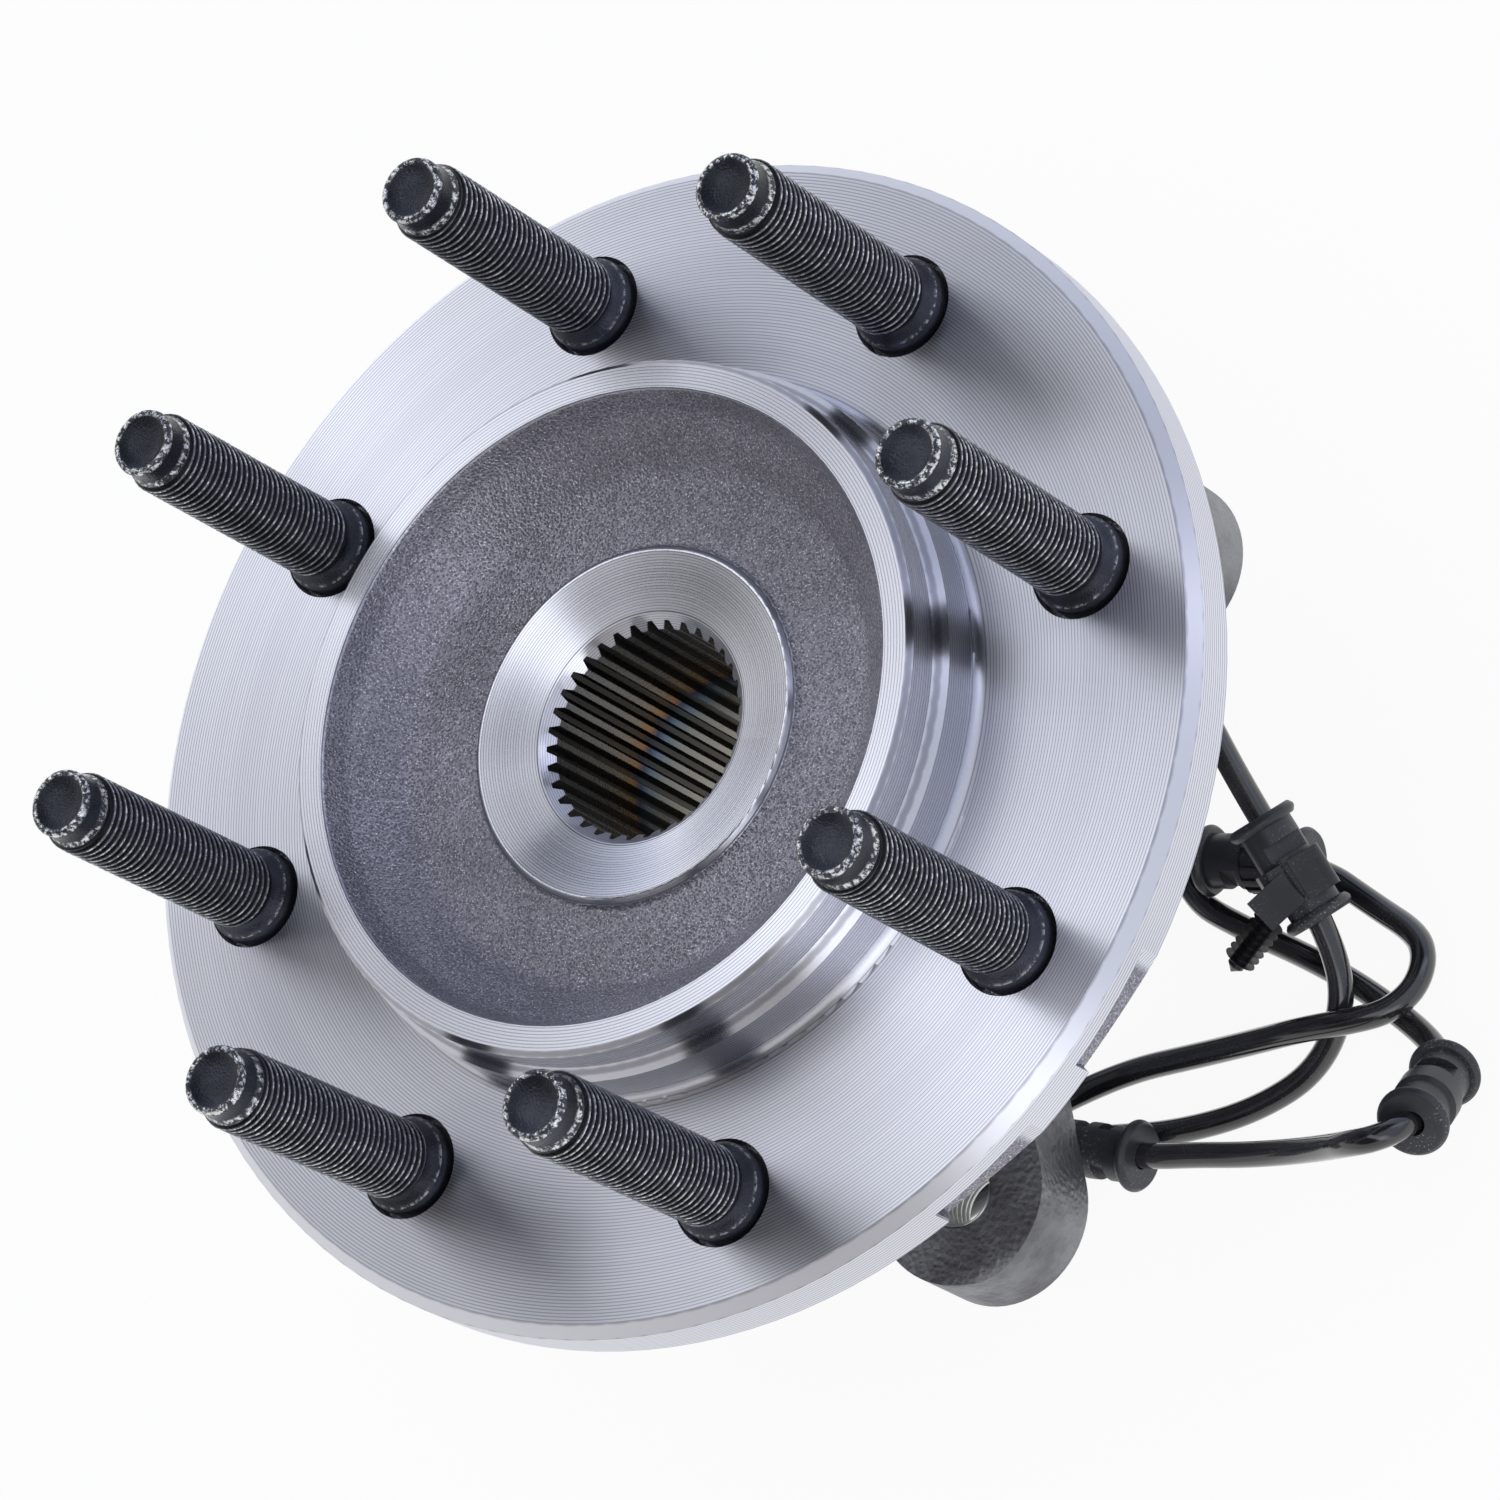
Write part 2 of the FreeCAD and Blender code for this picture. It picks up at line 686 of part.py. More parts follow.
def tube_path(points):
    """Straight runs joined by arcs, each arc as large as its two runs allow."""
    edges = []
    last = points[0]
    radii = []
    for before, corner, after in zip(points, points[1:], points[2:]):
        run = min((corner - before).Length, (after - corner).Length)
        back = (before - corner).normalize()
        on = (after - corner).normalize()
        half_turn = (math.pi - back.getAngle(on)) / 2
        reach = 0.45 * run
        radius = reach / math.tan(half_turn)
        middle = (back + on).normalize() * (radius / math.cos(half_turn) - radius)
        start = corner + back * reach
        end = corner + on * reach
        edges.append(Part.LineSegment(last, start).toShape())
        edges.append(Part.Arc(start, corner + middle, end).toShape())
        radii.append(radius)
        last = end
    edges.append(Part.LineSegment(last, points[-1]).toShape())
    return Part.Wire(edges), radii


path, bend_radii = tube_path(route)
section = Part.Wire(Part.makeCircle(lead_r, route[0], route[1] - route[0]))
lead = path.makePipeShell([section], True, True)
volume_ratio = lead.Volume / (path.Length * math.pi * lead_r ** 2)
print("lead length", round(path.Length, 1), "volume ratio", round(volume_ratio, 4))
print("bend radii", [round(radius, 1) for radius in bend_radii])
export(lead, "sensor_lead")


def grommet(ends, collar_r=grommet_collar_r, far_flange_r=grommet_flange_r, windows=(0.22,)):
    """Rubber sleeve with a flange at each end, a collar and pairs of windows."""
    start, end = ends
    length = (end - start).Length
    foot = grommet_flange / 2
    sleeve = turned([
        (lead_r, -foot),
        (grommet_flange_r - 0.8, -foot, 0.6),
        (grommet_flange_r, 0, 0.8),
        (grommet_flange_r - 0.8, foot, 0.6),
        (grommet_r, foot),
        (grommet_r, length * 0.42),
        (collar_r, length * 0.46),
        (collar_r, length * 0.66),
        (grommet_r, length * 0.7),
        (grommet_r, length - foot),
        (far_flange_r - 0.8, length - foot, 0.6),
        (far_flange_r, length, 0.8),
        (far_flange_r - 0.8, length + foot, 0.6),
        (lead_r, length + foot),
    ])
    cuts = []
    for share in windows:
        window = Part.makeBox(2 * collar_r, grommet_window_width, length * 0.16,
                              V(-collar_r, grommet_r - grommet_window_depth, length * share))
        cuts += around(window, 2)
    return placed(sleeve.cut(cuts), start, end - start)


def ribbed_grommet(ends):
    start, end = ends
    length = (end - start).Length
    gap = Part.makeBox(0.6, 1.1, length * 0.22, V(grommet_collar_r - 0.5, -0.55, length * 0.45))
    return grommet(ends).cut([placed(copy, start, end - start) for copy in around(gap, collar_ribs)])


plain_collar_r = grommet_r + 0.05
export(grommet(clip_grommet_ends, collar_r=plain_collar_r), "clip_grommet")
export(ribbed_grommet(ribbed_grommet_ends), "ribbed_grommet")
export(grommet(leaning_grommet_ends), "leaning_grommet")
split_end_r = grommet_r + 0.1
split_windows = (0.25, 0.55)
export(grommet(split_grommet_ends, plain_collar_r, split_end_r, split_windows), "split_grommet")


# Clip on the clip grommet: a saddle round the sleeve, a head plate and a finned stem
def lead_clip():
    width = 2 * saddle_half_width
    corner = V(-saddle_half_width, -saddle_half_width, saddle_start)
    saddle = Part.makeBox(width, width, saddle_length, corner)
    saddle = saddle.makeFillet(2.0, [e for e in saddle.Edges if e.BoundBox.ZLength > 1])
    saddle = saddle.cut(disc(plain_collar_r, saddle_start, saddle_length))
    slot = Part.makeBox(saddle_half_width, 1.3, saddle_length, V(plain_collar_r - 1, 0.3, saddle_start))
    plate = Part.makeBox(head_plate_thickness, head_plate_width, head_plate_length)
    plate.rotate(V(0, 0, 0), V(1, 0, 0), 11)
    plate.translate(V(saddle_half_width - head_plate_thickness / 2, 2.2, saddle_start + 1.2))
    return saddle.cut(slot).fuse(plate)


def finned_stem():
    outline = [(0, 0), (stem_r, 0)]
    first_fin = stem_length - stem_fins * stem_fin_pitch - stem_r
    for i in range(stem_fins):
        foot = first_fin + i * stem_fin_pitch
        outline += [(stem_r, foot), (stem_fin_r, foot), (stem_r, foot + stem_fin_pitch * 0.55)]
    outline += [(stem_r, stem_length - stem_r), (0, stem_length)]
    return turned(outline)


clip_start, clip_end = clip_grommet_ends
clip_axis = (clip_end - clip_start).normalize()
clip_front = V(0.573, -0.199, 0.795)
clip_front = (clip_front - clip_axis * clip_front.dot(clip_axis)).normalize()
stem_direction = V(-0.606, -0.75, -0.264)
stem_lift = clip_axis * (saddle_start + saddle_length - stem_r)
stem_start = clip_start + stem_lift + clip_axis.cross(clip_front) * grommet_r
saddle = framed(lead_clip(), clip_start, clip_axis, clip_front)
bore = placed(disc(plain_collar_r, 0, (clip_end - clip_start).Length), clip_start, clip_axis)
stem = placed(finned_stem(), stem_start, stem_direction).cut(bore)
export(saddle.fuse(stem).removeSplitter(), "lead_clip")

# Plug: a body with a socket, its two pins and the seal round the lead
plug_start = route[-1]
plug_axis = (route[-1] - route[-2]).normalize()
seal_length = 5.0
neck_length = 4.5
seal_seat = 1.0
socket_start = plug_length - plug_socket_depth
seal = turned([
    (lead_r, -seal_seat - seal_length),
    (plug_seal_r - 0.4, -seal_seat - seal_length),
    (plug_seal_r, -seal_seat - seal_length * 0.6),
    (plug_seal_r, -seal_seat),
    (lead_r, -seal_seat),
])
body = Part.makeBox(plug_height, plug_width, plug_length, V(-plug_height / 2, -plug_width / 2, 0))
body = body.makeFillet(1.6, [e for e in body.Edges if e.BoundBox.ZLength > 1])
latch_corner = V(plug_height / 2 - 0.6, -plug_width * 0.2, plug_length * 0.55)
latch = Part.makeBox(1.2, plug_width * 0.4, plug_length * 0.3, latch_corner)
body = body.fuse([disc(plug_neck_r, -neck_length, neck_length + 1), latch])
socket = Part.makeBox(plug_height - 2 * plug_wall, plug_width - 2 * plug_wall, plug_socket_depth,
                      V(plug_wall - plug_height / 2, plug_wall - plug_width / 2, socket_start))
pin_corner = V(-pin_thickness / 2, -pin_width / 2, socket_start - 3)
pin = Part.makeBox(pin_thickness, pin_width, pin_length, pin_corner)
pins = []
for side in (-0.5, 0.5):
    pins.append(pin.translated(V(0, side * pin_spacing, 0)))
seal_pocket = disc(plug_seal_r, -neck_length, neck_length - seal_seat)
lead_hole = disc(lead_r, -seal_seat, seal_seat)
body = body.cut([socket, seal_pocket, lead_hole] + pins)
export(framed(body.removeSplitter(), plug_start, plug_axis, up), "connector_body")
export(framed(Part.makeCompound(pins), plug_start, plug_axis, up), "connector_pins")
export(framed(seal, plug_start, plug_axis, up), "connector_seal")
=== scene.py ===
import math
import bmesh
import bpy
from mathutils import Matrix, Vector


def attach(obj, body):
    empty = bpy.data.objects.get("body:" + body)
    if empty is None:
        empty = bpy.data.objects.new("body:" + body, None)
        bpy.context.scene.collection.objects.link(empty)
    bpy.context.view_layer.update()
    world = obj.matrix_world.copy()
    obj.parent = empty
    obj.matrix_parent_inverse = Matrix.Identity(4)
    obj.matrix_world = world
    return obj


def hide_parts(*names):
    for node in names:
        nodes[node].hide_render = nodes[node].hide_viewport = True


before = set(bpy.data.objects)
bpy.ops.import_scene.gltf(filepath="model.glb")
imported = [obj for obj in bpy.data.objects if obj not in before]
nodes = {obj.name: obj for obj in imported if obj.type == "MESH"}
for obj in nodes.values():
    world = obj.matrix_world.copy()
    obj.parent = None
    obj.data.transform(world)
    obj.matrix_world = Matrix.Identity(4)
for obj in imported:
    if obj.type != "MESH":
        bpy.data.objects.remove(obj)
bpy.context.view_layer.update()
scene = bpy.context.scene
print("frame loaded:", len(nodes), "nodes")

# the camera stands where the photographer stood
camera = {
    "place": (0.69063, -0.23321, 1.02123),
    "right": (0.81514, 0.23867, -0.52780),
    "up": (-0.08497, 0.95058, 0.29862),
    "back": (0.57299, -0.19857, 0.79514),
    "lens": 170.4,
    "sensor": 36.0,
}
photoCameraData = bpy.data.cameras.new("photoCamera")
photoCameraData.lens = camera["lens"]
photoCameraData.sensor_width = camera["sensor"]
photoCameraData.clip_start = 0.05
photoCamera = bpy.data.objects.new("photoCamera", photoCameraData)
scene.collection.objects.link(photoCamera)
axes = Matrix((camera["right"], camera["up"], camera["back"])).transposed().to_4x4()
photoCamera.matrix_world = Matrix.Translation(camera["place"]) @ axes
scene.camera = photoCamera
scene.view_settings.view_transform = "Standard"


def onCircle(radius, degrees, height):
    turn = math.radians(degrees)
    return (radius * math.cos(turn), radius * math.sin(turn), height)


def addPiece(name, data, body, *stoodFor):
    piece = bpy.data.objects.new(name, data)
    scene.collection.objects.link(piece)
    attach(piece, body)
    if stoodFor:
        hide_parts(*stoodFor)
    return piece


class Shader:
    # short hand for wiring the nodes of one material or group
    def __init__(self, tree):
        self.tree = tree

    def add(self, kind, **settings):
        node = self.tree.nodes.new(kind)
        for key, value in settings.items():
            setattr(node, key, value)
        return node

    def join(self, source, target):
        self.tree.links.new(source, target)

    def feed(self, node, slot, value):
        if isinstance(value, bpy.types.NodeSocket):
            self.join(value, node.inputs[slot])
        else:
            node.inputs[slot].default_value = value

    def math(self, operation, a, b=0.0, c=0.0):
        node = self.add("ShaderNodeMath", operation=operation)
        for slot, value in enumerate((a, b, c)):
            self.feed(node, slot, value)
        return node.outputs[0]

    def plus(self, a, b):
        return self.math("ADD", a, b)

    def minus(self, a, b):
        return self.math("SUBTRACT", a, b)

    def times(self, a, b):
        return self.math("MULTIPLY", a, b)

    def largest(self, value, *others):
        for other in others:
            value = self.math("MAXIMUM", value, other)
        return value

    # rises from 0 to 1 between two edges
    def ramp(self, value, low, high, toLow=0.0, toHigh=1.0, kind="SMOOTHSTEP"):
        node = self.add("ShaderNodeMapRange", interpolation_type=kind)
        for slot, item in enumerate((value, low, high, toLow, toHigh)):
            self.feed(node, slot, item)
        return node.outputs[0]

    # falls from 1 to 0 between two edges
    def below(self, value, low, high):
        return self.ramp(value, low, high, 1.0, 0.0)

    def mix(self, fac, a, b):
        node = self.add("ShaderNodeMix", data_type="RGBA")
        for slot, value in ((0, fac), (6, a), (7, b)):
            self.feed(node, slot, value)
        return node.outputs[2]

    def blendValue(self, fac, a, b):
        node = self.add("ShaderNodeMix", data_type="FLOAT")
        for slot, value in ((0, fac), (2, a), (3, b)):
            self.feed(node, slot, value)
        return node.outputs[0]

    def noise(self, vector, scale, detail=2.0, roughness=0.5):
        node = self.add("ShaderNodeTexNoise")
        for slot, value in (("Vector", vector), ("Scale", scale), ("Detail", detail)):
            self.feed(node, slot, value)
        node.inputs["Roughness"].default_value = roughness
        return node.outputs["Fac"]

    def lineNoise(self, run, scale, detail):
        node = self.add("ShaderNodeTexNoise", noise_dimensions="1D")
        for slot, value in (("W", run), ("Scale", scale), ("Detail", detail)):
            self.feed(node, slot, value)
        return node.outputs["Fac"]

    def split(self, vector):
        node = self.add("ShaderNodeSeparateXYZ")
        self.join(vector, node.inputs[0])
        return node.outputs

    def combine(self, x, y, z):
        node = self.add("ShaderNodeCombineXYZ")
        for slot, value in enumerate((x, y, z)):
            self.feed(node, slot, value)
        return node.outputs[0]

    # distance from the hub's axis, and height along it
    def radiusAndHeight(self, vector):
        x, y, z = self.split(vector)
        return self.math("SQRT", self.plus(self.times(x, x), self.times(y, y))), z

    def group(self, tree, **values):
        node = self.add("ShaderNodeGroup", node_tree=tree)
        for name, value in values.items():
            self.feed(node, name, value)
        return node.outputs


def newGroup(name, inputs, outputs):
    tree = bpy.data.node_groups.new(name, "ShaderNodeTree")
    for label, kind, value in inputs:
        socket = tree.interface.new_socket(label, in_out="INPUT", socket_type=kind)
        if value is not None:
            socket.default_value = value
    for label in outputs:
        tree.interface.new_socket(label, in_out="OUTPUT", socket_type="NodeSocketFloat")
    kit = Shader(tree)
    return tree, kit, kit.add("NodeGroupInput").outputs, kit.add("NodeGroupOutput").inputs


# effects that several materials share
def makeTurnedMarks():
    # rings that a lathe tool leaves: they follow the radius on a face and the height on a cylinder
    look = {
        "heightShare": 0.8,     # under 1, so that a 45 degree edge has rings too
        "ringScale": 0.9, "ringHeight": 0.75, "ringTone": 0.4,
        "bandScale": 0.045, "bandTone": 0.6,
        "waveHeight": 0.32, "grooveEdges": (-1.0, -0.2),
    }
    tree, kit, given, out = newGroup(
        "turnedMarks",
        [("Place", "NodeSocketVector", None), ("Pitch", "NodeSocketFloat", 0.0005)],
        ["Height", "Tone", "Line"],
    )
    radius, height = kit.radiusAndHeight(given["Place"])
    run = kit.math("DIVIDE", kit.math("MULTIPLY_ADD", height, look["heightShare"], radius), given["Pitch"])
    wave = kit.math("SINE", kit.times(run, 2 * math.pi))
    rings = kit.lineNoise(run, look["ringScale"], 3.0)
    bands = kit.lineNoise(run, look["bandScale"], 2.0)
    relief = kit.plus(kit.times(wave, look["waveHeight"]), kit.times(rings, look["ringHeight"]))
    tone = kit.plus(kit.times(bands, look["bandTone"]), kit.times(rings, look["ringTone"]))
    kit.join(relief, out["Height"])
    kit.join(tone, out["Tone"])
    # Line marks the bottoms of the grooves, which the hub darkens as painted shade
    kit.join(kit.below(wave, *look["grooveEdges"]), out["Line"])
    return tree


def makeCastGrain():
    # pebbled skin of a casting; Glint marks bright specks that the colour uses as painted glints
    look = {
        "smoothness": 0.6, "cellHeight": 0.8, "fineScale": 1.6, "fineHeight": 0.5, "toneScale": 55.0,
        "glintEdges": (0.59, 0.67), "speckleEdges": (0.45, 0.75),
    }
    tree, kit, given, out = newGroup(
        "castGrain",
        [("Place", "NodeSocketVector", None), ("Grain", "NodeSocketFloat", 1400.0)],
        ["Height", "Tone", "Glint", "Speckle"],
    )
    place, scale = given["Place"], given["Grain"]
    cells = kit.add("ShaderNodeTexVoronoi", feature="SMOOTH_F1")
    for slot, value in (("Vector", place), ("Scale", scale), ("Smoothness", look["smoothness"])):
        kit.feed(cells, slot, value)
    pebbles = kit.times(cells.outputs["Distance"], look["cellHeight"])
    fine = kit.noise(place, kit.times(scale, look["fineScale"]))
    relief = kit.plus(pebbles, kit.times(fine, look["fineHeight"]))
    kit.join(relief, out["Height"])
    kit.join(kit.noise(place, look["toneScale"], 4.0, 0.6), out["Tone"])
    kit.join(kit.ramp(fine, *look["glintEdges"]), out["Glint"])
    kit.join(kit.below(relief, *look["speckleEdges"]), out["Speckle"])
    return tree


def makeRubWear():
    # chips and rubbed spots
    look = {"rarest": 0.8, "reach": 0.5, "softness": 0.12}
    tree, kit, given, out = newGroup(
        "rubWear",
        [
            ("Place", "NodeSocketVector", None),
            ("Size", "NodeSocketFloat", 900.0),
            ("Amount", "NodeSocketFloat", 0.4),
        ],
        ["Mask"],
    )
    spots = kit.noise(given["Place"], given["Size"], 4.0, 0.65)
    start = kit.minus(look["rarest"], kit.times(given["Amount"], look["reach"]))
    kit.join(kit.ramp(spots, start, kit.plus(start, look["softness"])), out["Mask"])
    return tree


def makeMouldSkin():
    # faint skin of moulded plastic and rubber, with dust in it
    look = {
        "fineHeight": 0.4, "wavyScale": 160.0, "wavyHeight": 0.6,
        "speckScale": 2600.0, "speckEdges": (0.62, 0.72),
        "patchScale": 90.0, "patchEdges": (0.42, 0.62),
    }
    tree, kit, given, out = newGroup(
        "mouldSkin",
        [("Place", "NodeSocketVector", None), ("Grain", "NodeSocketFloat", 3000.0)],
        ["Height", "Dust", "Tone"],
    )
    place = given["Place"]
    fine = kit.times(kit.noise(place, given["Grain"], 3.0), look["fineHeight"])
    wavy = kit.times(kit.noise(place, look["wavyScale"]), look["wavyHeight"])
    specks = kit.noise(place, look["speckScale"], 1.0)
    patches = kit.noise(place, look["patchScale"], 3.0)
    dust = kit.times(kit.ramp(specks, *look["speckEdges"]), kit.ramp(patches, *look["patchEdges"]))
    kit.join(kit.plus(fine, wavy), out["Height"])
    kit.join(dust, out["Dust"])
    kit.join(patches, out["Tone"])
    return tree


turnedMarks = makeTurnedMarks()
castGrain = makeCastGrain()
rubWear = makeRubWear()
mouldSkin = makeMouldSkin()


def newMaterial(name):
    material = bpy.data.materials.new(name)
    material.use_nodes = True
    tree = material.node_tree
    tree.nodes.clear()
    kit = Shader(tree)
    skin = kit.add("ShaderNodeBsdfPrincipled")
    out = kit.add("ShaderNodeOutputMaterial")
    kit.join(skin.outputs[0], out.inputs["Surface"])
    place = kit.add("ShaderNodeTexCoord").outputs["Object"]
    return material, kit, skin, place


def addBump(kit, skin, height, depth):
    bump = kit.add("ShaderNodeBump")
    bump.inputs["Strength"].default_value = 1.0
    bump.inputs["Distance"].default_value = depth
    kit.join(height, bump.inputs["Height"])
    kit.join(bump.outputs[0], skin.inputs["Normal"])


def machinedHub():
    finish = {
        "turned": (0.86, 0.875, 0.94, 1), "turnedDark": (0.77, 0.78, 0.85, 1),
        # painted shade: the dark colour drawn along the bottoms of the lathe grooves
        "groove": (0.30, 0.30, 0.36, 1), "grooveShare": 0.70, "pitch": 0.00056, "ringDepth": 0.014,
        # painted shade: the pilot and the boss are the same turned steel, made darker than the face
        "pilotShade": 0.82, "bossShade": 0.97,
        "innerRoughness": 0.22, "faceRoughness": 0.33, "anisotropy": 0.9,
        "cast": (0.37, 0.365, 0.43, 1), "castDark": (0.28, 0.278, 0.325, 1), "castRoughness": 0.36,
        "castPit": (0.075, 0.070, 0.080, 1), "pitShare": 0.50,
        # painted glints: a pale bluish colour for the bright specks of the cast skin
        "paintedGlint": (0.80, 0.80, 0.90, 1), "paintedGlintShare": 0.85,
        "grain": 2000.0, "depth": 0.00020,
        "flank": (0.045, 0.040, 0.038, 1), "flankShare": 0.86,
        # colours that the hardening heat left along the teeth, from the back of the bore to its mouth
        "heatTint": [
            (0.02, (0.44, 0.42, 0.36, 1)), (0.20, (0.40, 0.42, 0.41, 1)), (0.33, (0.24, 0.33, 0.46, 1)),
            (0.40, (0.10, 0.12, 0.22, 1)), (0.47, (0.55, 0.30, 0.12, 1)), (0.58, (0.50, 0.41, 0.31, 1)),
            (0.75, (0.46, 0.44, 0.42, 1)), (0.97, (0.50, 0.50, 0.51, 1)),
        ],
    }
    # where one finish fades into the next, as radii or heights in metres
    edge = {
        "recessWall": (0.0549, 0.0551), "bossWall": (0.0312, 0.0314), "recessFloor": (0.085, 0.086),
        "pilotFoot": (0.0630, 0.0640), "pocketEnd": (0.1018, 0.1022), "pocketRoof": (0.0874, 0.0877),
        "flangeBack": (0.0790, 0.0796), "spindle": (0.0365, 0.0375),
        "boreMouth": (0.07436, 0.07446),    # height less radius, as the mouth has a 45 degree edge
        "toothRoot": (0.0204, 0.0206), "toothTip": (0.01802, 0.01815),
        "boss": (0.045, 0.055), "heat": (0.045, 0.095),
    }
    material, kit, skin, place = newMaterial("machinedHub")
    radius, height = kit.radiusAndHeight(place)
    outside = kit.ramp(radius, *edge["pilotFoot"])
    inRecess = kit.times(kit.below(radius, *edge["recessWall"]), kit.ramp(radius, *edge["bossWall"]))
    inRecess = kit.times(inRecess, kit.ramp(height, *edge["recessFloor"]))
    inPocket = kit.times(kit.below(radius, *edge["pocketEnd"]), kit.below(height, *edge["pocketRoof"]))
    inPocket = kit.times(inPocket, outside)
    behind = kit.times(kit.below(height, *edge["flangeBack"]), kit.ramp(radius, *edge["spindle"]))
    cast = kit.largest(inRecess, inPocket, behind)
    spline = kit.below(kit.minus(height, radius), *edge["boreMouth"])
    spline = kit.times(spline, kit.below(radius, *edge["toothRoot"]))
    marks = kit.group(turnedMarks, Place=place, Pitch=finish["pitch"])
    grain = kit.group(castGrain, Place=place, Grain=finish["grain"])

    turned = kit.mix(kit.ramp(marks["Tone"], 0.35, 0.6), finish["turnedDark"], finish["turned"])
    # painted shade: dark lines along the bottoms of the lathe grooves
    turned = kit.mix(kit.times(marks["Line"], finish["grooveShare"]), turned, finish["groove"])
    # painted shade: the pilot and the boss take a darker copy of the turned colour than the face outside
    # them
    onPilot = kit.times(kit.ramp(radius, *edge["boss"]), kit.minus(1.0, outside))
    inner = kit.blendValue(onPilot, finish["bossShade"], finish["pilotShade"])
    shade = kit.add("ShaderNodeHueSaturation")
    kit.join(kit.blendValue(outside, inner, 1.0), shade.inputs["Value"])
    kit.join(turned, shade.inputs["Color"])

    castTone = kit.mix(kit.ramp(grain["Tone"], 0.3, 0.7), finish["castDark"], finish["cast"])
    castTone = kit.mix(kit.times(grain["Speckle"], finish["pitShare"]), castTone, finish["castPit"])
    # painted glints: bright specks of the cast skin mixed into its colour
    castTone = kit.mix(kit.times(grain["Glint"], finish["paintedGlintShare"]), castTone, finish["paintedGlint"])

    heat = kit.add("ShaderNodeValToRGB")
    kit.join(kit.ramp(height, *edge["heat"]), heat.inputs[0])
    stops = heat.color_ramp.elements
    for stopAt, colour in finish["heatTint"]:
        stops.new(stopAt).color = colour
    stops.remove(stops[0])
    stops.remove(stops[-1])
    # the teeth turn darker from their tips outwards, over the flanks to the roots
    onFlank = kit.times(kit.ramp(radius, *edge["toothTip"]), finish["flankShare"])
    teethDarkenedToRoots = kit.mix(onFlank, heat.outputs[0], finish["flank"])

    colour = kit.mix(cast, shade.outputs[0], castTone)
    kit.join(kit.mix(spline, colour, teethDarkenedToRoots), skin.inputs["Base Color"])
    kit.join(kit.minus(1.0, kit.times(cast, 0.15)), skin.inputs["Metallic"])
    gloss = kit.blendValue(outside, finish["innerRoughness"], finish["faceRoughness"])
    gloss = kit.plus(gloss, kit.times(marks["Tone"], 0.10))
    kit.join(kit.blendValue(cast, gloss, finish["castRoughness"]), skin.inputs["Roughness"])
    skin.inputs["Anisotropic"].default_value = finish["anisotropy"]
    skin.inputs["Anisotropic Rotation"].default_value = 0.25
    tangent = kit.add("ShaderNodeTangent", direction_type="RADIAL", axis="Z")
    kit.join(tangent.outputs[0], skin.inputs["Tangent"])
    relief = kit.blendValue(cast, kit.times(marks["Height"], finish["ringDepth"]), grain["Height"])
    addBump(kit, skin, relief, finish["depth"])
    return material


def blackStud():
    finish = {
        "phosphate": (0.016, 0.018, 0.026, 1), "phosphateLight": (0.045, 0.050, 0.068, 1),
        # painted highlight and shade: the crest colour lights the thread tops, the root colour darkens the
        # roots
        "root": (0.004, 0.004, 0.007, 1), "crest": (0.17, 0.18, 0.215, 1), "crestHighlightEdges": (0.62, 1.0),
        "rubbed": (0.80, 0.82, 0.84, 1), "rubbedEdges": (0.8, 1.0), "chipSize": 1100.0, "chipAmount": 0.66,
        "grain": 2600.0, "depth": 0.00009,
        "threadFoot": (0.0936, 0.0940), "threadEnd": (0.1402, 0.1406),
    }
    material, kit, skin, place = newMaterial("phosphateStud")
    crest = kit.add("ShaderNodeAttribute", attribute_name="crest").outputs["Fac"]
    grain = kit.group(castGrain, Place=place, Grain=finish["grain"])
    chips = kit.group(rubWear, Place=place, Size=finish["chipSize"], Amount=finish["chipAmount"])["Mask"]
    chips = kit.plus(kit.times(chips, 0.95), 0.03)
    rubbed = kit.times(kit.ramp(crest, *finish["rubbedEdges"]), chips)
    plain = kit.mix(kit.ramp(grain["Tone"], 0.35, 0.65), finish["phosphate"], finish["phosphateLight"])
    # painted highlight on the thread crests, painted shade in the roots
    thread = kit.mix(kit.ramp(crest, *finish["crestHighlightEdges"]), finish["root"], finish["crest"])
    height = kit.split(place)[2]
    onThread = kit.times(kit.ramp(height, *finish["threadFoot"]), kit.below(height, *finish["threadEnd"]))
    base = kit.mix(onThread, plain, thread)
    kit.join(kit.mix(rubbed, base, finish["rubbed"]), skin.inputs["Base Color"])
    kit.join(kit.blendValue(rubbed, 0.62, 1.0), skin.inputs["Metallic"])
    kit.join(kit.blendValue(rubbed, 0.30, 0.24), skin.inputs["Roughness"])
    addBump(kit, skin, grain["Height"], finish["depth"])
    return material


